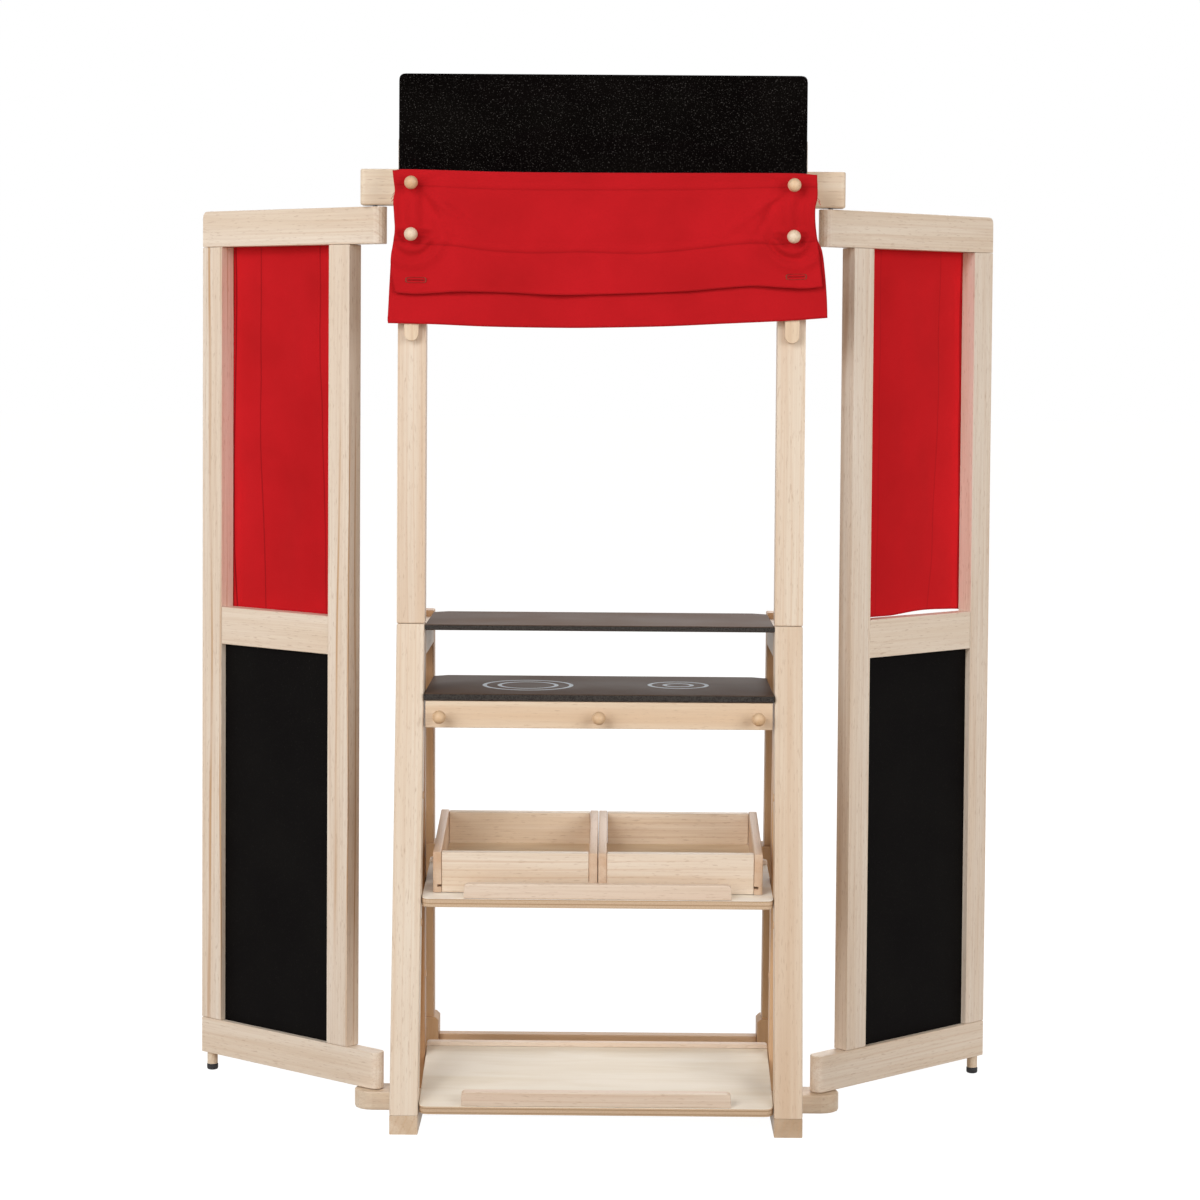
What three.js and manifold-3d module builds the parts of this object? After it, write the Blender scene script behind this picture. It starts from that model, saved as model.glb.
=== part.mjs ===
// A child's puppet theater stand in wood: a stage opening over a toy kitchen
// and two sloping market shelves, with a hinged wing on each side.
// Millimetres, +X to the right, +Y away from the side the shop keeper's goods
// face, +Z up. The origin lies on the floor, under the middle of the bottom
// hinge bar, so the wings turn about axes in the plane Y = 0.
import * as THREE from 'three';
import { mergeVertices } from 'three/addons/utils/BufferGeometryUtils.js';
import Module from 'manifold-3d';

const wasm = await Module();
wasm.setup();

// Clearances and edges
const seat = 0.3;            // gap left between pieces that are glued or rest on each other
const overrun = 2;           // how far a cutter passes the face that it opens
const arris = 1.6;           // rounding of a planed wooden edge
const fineArris = 0.8;       // rounding of a thin board's edge
const roundSteps = 4;        // facets in a quarter round
const weldDistance = 1e-4;

// Side frames
const clearWidth = 375;      // between the inner faces of the two side frames
const legWidth = 30;         // width of every upright, seen from the front
const postDepth = 26;
const postTop = 1050;
const legTop = 532;          // where the upper posts stand on the legs
const footReach = 80;        // how far the front leg's foot stands before the post
const innerLegReach = 39;    // how far the inner leg's foot stands behind its top
const rearLegDepth = 28;
const rearLegStart = 165;    // from the post's front to the rear leg's front, at the top
const rearLegReach = 37;     // how far the rear leg's foot stands behind its top
const rearFootTop = 63.7;
const rearBlockTop = 265.5;  // the block on the rear leg that takes the middle rail
const rearBlockHeight = 52;
const rearFootStep = 5.5;    // how far the foot and the block stand in from the leg
const rearFootMargin = 5;    // past the rear leg, front and back
const rearFootChamfer = 3.9;
const runnerHeight = 20;
const apronHeight = 29;
const apronThickness = 18;

// Hinge bars and their pins
const topBarHeight = 38.5;
const topBarDepth = 29.4;
const topBarBottom = 980.5;
const topBarCorner = 5;
const pinFromPost = 28;      // from the post's outer face to the hinge pin
const topBarEnd = 15;        // from the pin to the top bar's end
const bottomBarEnd = 18.5;   // from the pin to the bottom bar's end
const bottomBarRadius = 20.5;
const bottomBarHeight = 20;
const pinRadius = 2.5;
const pinBoreRadius = 3;
const pinDepth = 14;         // how far a pin goes into each piece
const pinBoreSpare = 1.5;
const pinSides = 16;

// Header board, knobs and valance
const headerInset = 1;       // at each end, in from the posts' outer faces
const headerBottom = 975;
const headerHeight = 143;
const headerTop = headerBottom + headerHeight;
const headerThickness = 9;
const headerCorner = 7;
const battenWidth = 15.5;
const battenBottom = 834.6;
const battenKnobStep = 27;   // lower curtain knob below the batten's top
const headerKnobStep = 27;   // upper curtain knob above the header's bottom
const knobRadius = 7.2;
const knobShank = 3.5;
const knobNeck = 8;          // from the wood to where the ball starts
const knobDepth = 6;         // how far the shank goes into the wood
const knobSides = 12;
const valanceTop = 1018;
const valanceBottom = 856;
const valanceHem = 888;      // lower edge of the folded front layer
const valanceOverhang = 9.5; // past the header board, on each side
const valanceFlare = 8;      // how much further each side reaches at the bottom
const valanceDrift = 6.5;    // how far the cloth's bottom hangs to the right
const valanceLayer = 2.4;    // one layer of cloth with its air
const valanceFoldDepth = 1.6;
const valanceFolds = 5;
const valanceColumns = 40;
const valanceRows = 5;
const valanceHemStep = 0.6;
const valanceWaist = 3;      // how far the sides draw in at mid height
const valanceAir = 0.6;      // between the cloth and the header
const eyeletRadius = 4.4;

// Flat shelves
const stageShelfThickness = 6;
const stageShelfDepth = 163;
const shelfDrop = 0.5;       // stage shelf below the top of the legs
const shelfCorner = 16;      // clipped rear corners
const shelfCornerRise = 11;
const kitchenTop = 459;
const kitchenThickness = 7.5;
const kitchenLead = 15;      // before the post's front
const kitchenRear = 168;     // behind the post's front
const pegRailHeight = 29;
const pegRailThickness = 15;
const pegRailSetback = 2;
const pegRailEndGap = 2;
const pegInset = 15.5;       // from the rail's end to the outer pegs
const pegDrop = 16;

// Sloping display shelves, each with a lip batten at its front and back
const displayBay = 143;      // from the shelf's front edge to the rear lip
const displayThickness = 9.3;
const displayCorner = 9;
const displayRearCorner = 3;
const displayPlay = 0.6;     // at each side, between the shelf and the legs
const upperDisplayFront = 243.9;
const upperDisplaySlope = 5.7 * Math.PI / 180;
const lowerDisplayFront = 29.8;
const lowerDisplaySlope = 12.7 * Math.PI / 180;
const frontLipLength = 284;
const frontLipHeight = 16;
const frontLipThickness = 8;
const frontLipCorner = 6;
const rearLipHeight = 5;
const rearLipThickness = 6.4;
const rearLipCorner = 3.4;

// Rear rails
const rearRailHeight = 24;
const rearRailThickness = 16;
const rearRailDrop = 21.7;   // below the top of the foot or the block that it joins

// Storage boxes
const boxGap = 0.8;
const boxClearance = 11.7;   // from the boxes to the inner legs at their sides
const boxWidth = (clearWidth - boxGap) / 2 - boxClearance;
const boxDepth = 156;
const boxHeight = 45;
const boxLead = 22.7;        // from the shelf's front edge to the box
const boxWall = 9;
const boxCorner = 2;         // rounding of the side walls' upper corners
const boxFloor = 2.6;
const boxFloorRise = 6.4;
const boxGrooveDepth = 4.5;
const boxEdge = 1;

// Wings
const wingLength = 260;      // from the hinge pin to the outer end
const wingThickness = 18;
const wingTail = 5.4;        // from the pin to the centre of the rounded end
const wingBottom = 21;
const wingTop = 979;
const wingRail = 40;
const wingStile = 31;
const wingInnerStart = 29.5; // from the pin to the inner stile
const wingCorner = 8;
const midRailTop = 533;
const wingMidRail = 42;
const boardThickness = 4;
const boardGroove = 5;
const panelThickness = 1.6;  // the cloth panel behind the upper opening
const panelOverlap = 9;      // onto the stiles
const panelFixing = 26;      // onto the top rail
const panelFoldDepth = 1.6;
const panelFolds = 3;
const panelColumns = 24;
const panelHemWave = 3;
const panelRows = 8;
const leftPanelHem = -14;    // the hem against the middle rail's top edge
const rightPanelHem = 3;
const wingFootInset = 8;
const wingFootRadius = 6;
const wingFootDepth = 15;    // dowel inside the rail
const wingTipRadius = 6.4;
const wingTipHeight = 7;
const footSides = 20;
const leftWingAngle = 39.2 * Math.PI / 180;
const rightWingAngle = 43 * Math.PI / 180;

// Places that follow from the sizes above
const innerFace = clearWidth / 2;
const legMiddle = innerFace + legWidth / 2;
const outerFace = innerFace + legWidth;
const pinX = outerFace + pinFromPost;
const postRear = -topBarDepth / 2 - seat;
const postFront = postRear - postDepth;
const wingHalf = wingThickness / 2;
const headerWidth = 2 * (outerFace - headerInset);
const valanceTopWidth = headerWidth + 2 * valanceOverhang;
const valanceBottomWidth = valanceTopWidth + 2 * valanceFlare;
const displayLength = displayBay + rearLipThickness + fineArris;
const headerRear = postFront - seat;
const headerFront = headerRear - headerThickness;
const battenTop = headerBottom - seat;
const upperKnobZ = headerBottom + headerKnobStep;
const lowerKnobZ = battenTop - battenKnobStep;

const finishes = {
  beech: new THREE.MeshStandardMaterial({ color: 0xe4d2bb, roughness: 0.62, metalness: 0 }),
  plywood: new THREE.MeshStandardMaterial({ color: 0xdfd2b8, roughness: 0.5, metalness: 0 }),
  laminate: new THREE.MeshStandardMaterial({ color: 0x3a3634, roughness: 0.35, metalness: 0 }),
  chalkboard: new THREE.MeshStandardMaterial({ color: 0x141110, roughness: 0.6, metalness: 0 }),
  cotton: new THREE.MeshStandardMaterial({ color: 0xc81c22, roughness: 0.9, metalness: 0 }),
  steel: new THREE.MeshStandardMaterial({ color: 0x4a4a50, roughness: 0.4, metalness: 1 }),
  rubber: new THREE.MeshStandardMaterial({ color: 0x1b1b1d, roughness: 0.8, metalness: 0 }),
};

// Geometry to solid and back
function solidOf(geometry) {
  const bare = geometry.clone();
  bare.deleteAttribute('normal');
  bare.deleteAttribute('uv');
  const merged = mergeVertices(bare, weldDistance);
  return new wasm.Manifold(new wasm.Mesh({
    numProp: 3,
    vertProperties: new Float32Array(merged.attributes.position.array),
    triVerts: new Uint32Array(merged.index.array),
  }));
}

function geometryOf(solid) {
  const mesh = solid.getMesh();
  const geometry = new THREE.BufferGeometry();
  geometry.setAttribute('position', new THREE.BufferAttribute(new Float32Array(mesh.vertProperties), mesh.numProp));
  geometry.setIndex(new THREE.BufferAttribute(new Uint32Array(mesh.triVerts), 1));
  geometry.computeVertexNormals();
  return geometry;
}

function cut(geometry, ...cutters) {
  return geometryOf(cutters.reduce((solid, cutter) => solid.subtract(solidOf(cutter)), solidOf(geometry)));
}

function common(geometry, other) {
  return geometryOf(solidOf(geometry).intersect(solidOf(other)));
}

function joined(...geometries) {
  return geometryOf(geometries.slice(1).reduce((solid, one) => solid.add(solidOf(one)), solidOf(geometries[0])));
}

function node(name, geometry, finish) {
  const mesh = new THREE.Mesh(geometry, finishes[finish]);
  mesh.name = name;
  return mesh;
}

// A closed outline whose corners are rounded by their own radii: [[x, y, radius], ...]
function outline(corners) {
  const shape = new THREE.Shape();
  const count = corners.length;
  corners.forEach(([x, y, radius = 0], i) => {
    const here = new THREE.Vector2(x, y);
    const before = new THREE.Vector2(...corners[(i + count - 1) % count]);
    const after = new THREE.Vector2(...corners[(i + 1) % count]);
    const start = here.clone().add(before.sub(here).setLength(radius));
    const end = here.clone().add(after.sub(here).setLength(radius));
    if (i === 0) {
      shape.moveTo(start.x, start.y);
    } else {
      shape.lineTo(start.x, start.y);
    }
    if (radius > 0) {
      shape.quadraticCurveTo(here.x, here.y, end.x, end.y);
    }
  });
  shape.closePath();
  return shape;
}

function rectangle(left, bottom, right, top, radius = 0) {
  return outline([[left, bottom, radius], [right, bottom, radius], [right, top, radius], [left, top, radius]]);
}

// A board cut to an outline, from 0 to its thickness, with broken edges
function board(shape, thickness, edge, steps = 1) {
  const geometry = new THREE.ExtrudeGeometry(shape, {
    depth: thickness - 2 * edge,
    bevelEnabled: edge > 0,
    bevelThickness: edge,
    bevelSize: edge,
    bevelOffset: -edge,
    bevelSegments: steps,
    curveSegments: roundSteps,
  });
  return geometry.translate(0, 0, edge);
}

// An outline drawn on Y and Z, made from x = left to x = left + width
function sideBoard(shape, left, width, edge) {
  const geometry = board(shape, width, edge, 2);
  geometry.applyMatrix4(new THREE.Matrix4().makeBasis(
    new THREE.Vector3(0, 1, 0), new THREE.Vector3(0, 0, 1), new THREE.Vector3(1, 0, 0)));
  return geometry.translate(left, 0, 0);
}

// An outline drawn on X and Z, made from y = front to y = front + thickness
function frontBoard(shape, front, thickness, edge, steps) {
  return board(shape, thickness, edge, steps).rotateX(Math.PI / 2).translate(0, front + thickness, 0);
}

// An outline drawn on X and Y, made from z = bottom to z = bottom + thickness
function flatBoard(shape, bottom, thickness, edge, steps) {
  return board(shape, thickness, edge, steps).translate(0, 0, bottom);
}

function uprightCylinder(radius, bottom, top, x, y, sides) {
  return new THREE.CylinderGeometry(radius, radius, top - bottom, sides)
    .rotateX(Math.PI / 2).translate(x, y, (bottom + top) / 2);
}

// A ball knob whose shank enters the wood at y = face, pointing to -Y
function knob(x, face, z) {
  const profile = [new THREE.Vector2(0, -knobDepth), new THREE.Vector2(knobShank, -knobDepth)];
  const start = Math.asin(knobShank / knobRadius);
  const centre = knobNeck + knobRadius * Math.cos(start);
  const steps = 3 * roundSteps;
  for (let i = 0; i < steps; i += 1) {
    const turn = start + (Math.PI - start) * i / steps;
    profile.push(new THREE.Vector2(knobRadius * Math.sin(turn), centre - knobRadius * Math.cos(turn)));
  }
  profile.push(new THREE.Vector2(0, centre + knobRadius));
  return new THREE.LatheGeometry(profile, knobSides).rotateX(Math.PI).translate(x, face, z);
}

function knobHole(x, face, z) {
  const length = knobDepth + seat + overrun;
  return new THREE.CylinderGeometry(knobShank + seat, knobShank + seat, length, knobSides)
    .translate(x, face + knobDepth + seat - length / 2, z);
}

// A cloth made as a closed shell: levels run from its top to its bottom, and
// front and rear give the point [x, y, z] for a share across and a level
function clothShell(columns, levels, front, rear) {
  const positions = [];
  const index = [];
  for (const surface of [front, rear]) {
    for (const level of levels) {
      for (let i = 0; i <= columns; i += 1) {
        positions.push(...surface(i / columns, level));
      }
    }
  }
  const rows = levels.length - 1;
  const width = columns + 1;
  const count = width * levels.length;
  const face = (a, b, c, d) => index.push(a, b, c, a, c, d);
  for (let j = 0; j < rows; j += 1) {
    for (let i = 0; i < columns; i += 1) {
      const a = j * width + i;
      face(a, a + width, a + width + 1, a + 1);
      face(count + a, count + a + 1, count + a + width + 1, count + a + width);
    }
  }
  for (let i = 0; i < columns; i += 1) {
    const last = rows * width + i;
    face(i + 1, count + i + 1, count + i, i);
    face(last, count + last, count + last + 1, last + 1);
  }
  for (let j = 0; j < rows; j += 1) {
    const a = j * width;
    const b = a + columns;
    face(a, count + a, count + a + width, a + width);
    face(b + width, count + b + width, count + b, b);
  }
  const geometry = new THREE.BufferGeometry();
  geometry.setAttribute('position', new THREE.BufferAttribute(new Float32Array(positions), 3));
  geometry.setIndex(index);
  geometry.computeVertexNormals();
  return geometry;
}

// The height of a row of folds, from flat at the sides to full between them
function foldWave(across, folds) {
  return (1 - Math.cos(2 * Math.PI * folds * across)) / 2;
}

// Side frames: the front leg leans forward, the inner leg leans back, and
// both are mitred together under the post
function lean(front, reach, z) {
  return front + reach * (legTop - z) / (legTop - runnerHeight);
}

const crotchDrop = (legTop - runnerHeight) * postDepth / (footReach + innerLegReach);
const legFoot = runnerHeight + seat;
const rearFront = postFront + rearLegStart;
const footFront = lean(rearFront, rearLegReach, rearFootTop) - rearFootMargin;
const footRear = footFront + rearLegDepth + 2 * rearFootMargin;
const blockFront = lean(rearFront, rearLegReach, rearBlockTop) - rearFootMargin;
const blockRear = blockFront + rearLegDepth + 2 * rearFootMargin;
const footInner = innerFace - rearFootStep;

function frontLeg(left) {
  const crotchZ = legTop - crotchDrop;
  const crotchY = lean(postFront, innerLegReach, crotchZ);
  const shape = outline([
    [lean(postFront, -footReach, legFoot), legFoot],
    [lean(postRear, -footReach, legFoot), legFoot],
    [crotchY - seat / 2, crotchZ - seat],
    [postFront + postDepth / 2 - seat / 2, legTop],
    [postFront, legTop],
  ]);
  return sideBoard(shape, left, legWidth, arris);
}

function innerLeg(left) {
  const crotchZ = legTop - crotchDrop;
  const crotchY = lean(postFront, innerLegReach, crotchZ);
  const shape = outline([
    [lean(postFront, innerLegReach, legFoot), legFoot],
    [lean(postRear, innerLegReach, legFoot), legFoot],
    [postRear, legTop],
    [postFront + postDepth / 2 + seat / 2, legTop],
    [crotchY + seat / 2, crotchZ + seat],
  ]);
  return sideBoard(shape, left, legWidth, arris);
}

// The rear leg, the foot under it and the block that takes the middle rail
function rearLeg(side, left) {
  const tenon = rearFootTop - arris - overrun;
  const blockBottom = rearBlockTop - rearBlockHeight;
  const leg = outline([
    [lean(rearFront, rearLegReach, tenon), tenon],
    [lean(rearFront, rearLegReach, tenon) + rearLegDepth, tenon],
    [rearFront + rearLegDepth, legTop],
    [rearFront, legTop],
  ]);
  const foot = outline([
    [side * footInner, 0],
    [side * outerFace, 0],
    [side * outerFace, rearFootTop],
    [side * (footInner + rearFootChamfer), rearFootTop],
    [side * footInner, rearFootTop - rearFootChamfer],
  ]);
  const block = outline([
    [side * footInner, blockBottom + rearFootChamfer],
    [side * (footInner + rearFootChamfer), blockBottom],
    [side * outerFace, blockBottom],
    [side * outerFace, rearBlockTop],
    [side * (footInner + rearFootChamfer), rearBlockTop],
    [side * footInner, rearBlockTop - rearFootChamfer],
  ]);
  return joined(
    sideBoard(leg, left, legWidth, arris),
    frontBoard(foot, footFront, footRear - footFront, fineArris),
    frontBoard(block, blockFront, blockRear - blockFront, fineArris));
}

function sideRunner(side, left) {
  const start = lean(postFront, -footReach, legFoot);
  const lap = new THREE.BoxGeometry(legWidth + 2 * overrun, 2 * (bottomBarRadius + seat), runnerHeight)
    .translate(side * legMiddle, 0, runnerHeight);
  return cut(sideBoard(rectangle(start, 0, footFront - seat, runnerHeight), left, legWidth, fineArris), lap);
}

function sideApron(side) {
  const top = legTop - shelfDrop - stageShelfThickness - seat;
  const low = top - apronHeight;
  const left = side > 0 ? innerFace : -innerFace - apronThickness;
  const shape = outline([
    [lean(postRear, innerLegReach, low) + seat, low],
    [lean(rearFront, rearLegReach, low) - seat, low],
    [lean(rearFront, rearLegReach, top) - seat, top],
    [lean(postRear, innerLegReach, top) + seat, top],
  ]);
  return sideBoard(shape, left, apronThickness, fineArris);
}

function sideFrame(side, label) {
  const left = side > 0 ? innerFace : -outerFace;
  const post = flatBoard(
    rectangle(left, postFront, left + legWidth, postRear), legTop + seat, postTop - legTop - seat, arris, 2);
  const frame = new THREE.Group();
  frame.add(
    node(`post_${label}`, post, 'beech'),
    node(`front_leg_${label}`, frontLeg(left), 'beech'),
    node(`inner_leg_${label}`, innerLeg(left), 'beech'),
    node(`rear_leg_${label}`, rearLeg(side, left), 'beech'),
    node(`side_runner_${label}`, sideRunner(side, left), 'beech'),
    node(`side_apron_${label}`, sideApron(side), 'beech'),
  );
  return frame;
}

// A strip along X with a half round at each end
function roundEnded(left, right, radius) {
  const shape = new THREE.Shape();
  shape.moveTo(left + radius, -radius);
  shape.lineTo(right - radius, -radius);
  shape.absarc(right - radius, 0, radius, -Math.PI / 2, Math.PI / 2);
  shape.lineTo(left + radius, radius);
  shape.absarc(left + radius, 0, radius, Math.PI / 2, 3 * Math.PI / 2);
  return shape;
}

// The bars that tie the side frames together and carry the hinge pins; the
// bottom bar is lapped into the runners
function hingeBars() {
  const bores = (bottom, top) => [-pinX, pinX].map(
    (x) => uprightCylinder(pinBoreRadius, bottom, top, x, 0, pinSides));
  const topReach = pinX + topBarEnd;
  const topBar = cut(
    flatBoard(rectangle(-topReach, -topBarDepth / 2, topReach, topBarDepth / 2, topBarCorner),
      topBarBottom, topBarHeight, arris, 2),
    ...bores(topBarBottom - overrun, topBarBottom + pinDepth + pinBoreSpare));
  const reach = pinX + bottomBarEnd;
  const laps = [-legMiddle, legMiddle].map(
    (x) => new THREE.BoxGeometry(legWidth + 2 * seat, 2 * (bottomBarRadius + overrun), bottomBarHeight)
      .translate(x, 0, seat));
  const bottomBar = cut(
    flatBoard(roundEnded(-reach, reach, bottomBarRadius), 0, bottomBarHeight, arris, 2),
    ...bores(bottomBarHeight - pinDepth - pinBoreSpare, bottomBarHeight + overrun),
    ...laps);
  const bars = new THREE.Group();
  bars.add(node('top_hinge_bar', topBar, 'beech'), node('bottom_hinge_bar', bottomBar, 'beech'));
  for (const [side, label] of [[-1, 'left'], [1, 'right']]) {
    const lower = uprightCylinder(
      pinRadius, bottomBarHeight - pinDepth, wingBottom + pinDepth, side * pinX, 0, pinSides);
    const upper = uprightCylinder(
      pinRadius, wingTop - pinDepth, topBarBottom + pinDepth, side * pinX, 0, pinSides);
    bars.add(node(`lower_pin_${label}`, lower, 'steel'), node(`upper_pin_${label}`, upper, 'steel'));
  }
  return bars;
}

// The rails across the back of the side frames
function rearRails() {
  const reach = footInner - seat;
  const rails = new THREE.Group();
  for (const [label, front, rear, top] of [
    ['middle', blockFront, blockRear, rearBlockTop - rearRailDrop],
    ['bottom', footFront, footRear, rearFootTop - rearRailDrop],
  ]) {
    const face = (front + rear - rearRailThickness) / 2;
    const rail = frontBoard(rectangle(-reach, top - rearRailHeight, reach, top), face, rearRailThickness, arris, 2);
    rails.add(node(`${label}_rear_rail`, rail, 'beech'));
  }
  return rails;
}

// Header board and the two battens, drilled for the curtain knobs
function header() {
  const half = headerWidth / 2;
  const drilled = (geometry, z, places) => cut(geometry, ...places.map((x) => knobHole(x, headerFront, z)));
  const board = frontBoard(
    rectangle(-half, headerBottom, half, headerTop, headerCorner), headerFront, headerThickness, arris, 2);
  const parts = new THREE.Group();
  parts.add(node('header_board', drilled(board, upperKnobZ, [-legMiddle, legMiddle]), 'chalkboard'));
  for (const [side, label] of [[-1, 'left'], [1, 'right']]) {
    const x = side * legMiddle;
    const reach = battenWidth / 2;
    const shape = new THREE.Shape();
    shape.moveTo(x + reach, battenBottom + reach);
    shape.lineTo(x + reach, battenTop);
    shape.lineTo(x - reach, battenTop);
    shape.lineTo(x - reach, battenBottom + reach);
    shape.absarc(x, battenBottom + reach, reach, Math.PI, 2 * Math.PI);
    const batten = frontBoard(shape, headerFront, headerThickness, fineArris, 2);
    parts.add(
      node(`knob_batten_${label}`, drilled(batten, lowerKnobZ, [x]), 'beech'),
      node(`upper_knob_${label}`, knob(x, headerFront, upperKnobZ), 'beech'),
      node(`lower_knob_${label}`, knob(x, headerFront, lowerKnobZ), 'beech'),
    );
  }
  return parts;
}

// The valance: a cloth folded over at its top, with its front layer shorter,
// hung on the four knobs
function valance() {
  const above = [valanceTop];
  for (let i = 1; i <= valanceRows; i += 1) {
    above.push(valanceTop - (valanceTop - valanceHem) * i / valanceRows);
  }
  const below = [valanceHem - valanceHemStep, (valanceHem + valanceBottom) / 2, valanceBottom];
  const levels = [
    ...above.map((z) => ({ z, layers: 2 })),
    ...below.map((z) => ({ z, layers: 1 })),
  ];
  const shareDown = (z) => (valanceTop - z) / (valanceTop - valanceBottom);
  const halfWidth = (z) => THREE.MathUtils.lerp(valanceTopWidth, valanceBottomWidth, shareDown(z)) / 2
    - valanceWaist * Math.sin(Math.PI * shareDown(z));
  const rearFace = headerFront - valanceAir;
  const sheet = (depth) => (across, { z, layers }) => [
    valanceDrift * shareDown(z) + halfWidth(z) * (2 * across - 1),
    rearFace - valanceFoldDepth * shareDown(z) * foldWave(across, valanceFolds) - depth * layers,
    z,
  ];
  const cloth = clothShell(valanceColumns, levels, sheet(valanceLayer), sheet(0));
  const eyelets = [upperKnobZ, lowerKnobZ].flatMap((z) => [-legMiddle, legMiddle].map(
    (x) => new THREE.CylinderGeometry(eyeletRadius, eyeletRadius, knobNeck + overrun, knobSides)
      .translate(x, headerFront - knobNeck / 2, z)));
  return cut(cloth, ...eyelets);
}

// A flat shelf between the side frames, with its rear corners clipped
function flatShelf(top, thickness, front, rear) {
  const half = innerFace - seat;
  const shape = outline([
    [-half, front],
    [half, front],
    [half, rear - shelfCornerRise],
    [half - shelfCorner, rear],
    [shelfCorner - half, rear],
    [-half, rear - shelfCornerRise],
  ]);
  return flatBoard(shape, top - thickness, thickness, fineArris, 1);
}

function shelves() {
  const parts = new THREE.Group();
  const stage = flatShelf(legTop - shelfDrop, stageShelfThickness, postFront, postFront + stageShelfDepth);
  const kitchenFront = postFront - kitchenLead;
  const kitchen = flatShelf(kitchenTop, kitchenThickness, kitchenFront, postFront + kitchenRear);
  const railFace = kitchenFront + pegRailSetback;
  const railTop = kitchenTop - kitchenThickness - seat;
  const reach = innerFace - pegRailEndGap;
  const pegZ = railTop - pegDrop;
  const places = [pegInset - reach, 0, reach - pegInset];
  const rail = cut(
    frontBoard(rectangle(-reach, railTop - pegRailHeight, reach, railTop), railFace, pegRailThickness, fineArris, 2),
    ...places.map((x) => knobHole(x, railFace, pegZ)));
  parts.add(
    node('stage_shelf', stage, 'laminate'),
    node('kitchen_shelf', kitchen, 'laminate'),
    node('peg_rail', rail, 'beech'),
    ...places.map((x, i) => node(`peg_${['left', 'middle', 'right'][i]}`, knob(x, railFace, pegZ), 'beech')),
  );
  return parts;
}

// A sloping shelf with a lip batten along its front and its back
function displayShelf(label, front, slope) {
  const half = innerFace - displayPlay;
  const shape = outline([
    [-half, 0, displayCorner],
    [half, 0, displayCorner],
    [half, displayLength, displayRearCorner],
    [-half, displayLength, displayRearCorner],
  ]);
  const lipHalf = frontLipLength / 2;
  const frontLip = outline([
    [-lipHalf, seat],
    [lipHalf, seat],
    [lipHalf, seat + frontLipHeight, frontLipCorner],
    [-lipHalf, seat + frontLipHeight, frontLipCorner],
  ]);
  const rearLip = outline([
    [-half, seat],
    [half, seat],
    [half, seat + rearLipHeight, rearLipCorner],
    [-half, seat + rearLipHeight, rearLipCorner],
  ]);
  const tilted = new THREE.Group();
  tilted.position.set(0, lean(postFront, -footReach, front), front);
  tilted.rotation.x = slope;
  tilted.add(
    node(`display_shelf_${label}`, flatBoard(shape, -displayThickness, displayThickness, fineArris, 2), 'plywood'),
    node(`front_lip_${label}`, frontBoard(frontLip, fineArris, frontLipThickness, fineArris, 2), 'plywood'),
    node(`rear_lip_${label}`, frontBoard(rearLip, displayBay, rearLipThickness, fineArris, 2), 'plywood'),
  );
  return tilted;
}

// A box for the goods: four walls of one height, and a floor in grooves that
// stay open at the front. It stands on the shelf in front and leans on the
// shelf's rear lip, and is drawn with its front bottom edge at y = z = 0
function storageBox(label, middle) {
  const left = middle - boxWidth / 2;
  const hollow = boxWidth - 2 * boxWall;
  const hollowDepth = boxDepth - 2 * boxWall;
  const side = outline([
    [0, 0],
    [boxDepth, 0],
    [boxDepth, boxHeight, boxCorner],
    [0, boxHeight, boxCorner],
  ]);
  const inside = new THREE.BoxGeometry(hollow, hollowDepth, boxHeight + 2 * overrun)
    .translate(middle, boxDepth / 2, boxHeight / 2);
  const grooved = (spare) => new THREE.BoxGeometry(
    hollow + 2 * (boxGrooveDepth + spare), hollowDepth + 2 * (boxGrooveDepth + spare), boxFloor + 2 * spare)
    .translate(middle, boxDepth / 2, boxFloorRise + boxFloor / 2);
  const slotWidth = boxGrooveDepth + seat;
  const slots = [-1, 1].map((end) => new THREE.BoxGeometry(slotWidth, boxWall + overrun, boxFloor + 2 * seat)
    .translate(middle + end * (hollow + slotWidth) / 2, (boxWall - overrun) / 2, boxFloorRise + boxFloor / 2));
  const carcass = cut(sideBoard(side, left, boxWidth, boxEdge), inside, grooved(seat), ...slots);
  return [node(`box_${label}`, carcass, 'beech'), node(`box_floor_${label}`, grooved(0), 'plywood')];
}

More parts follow.
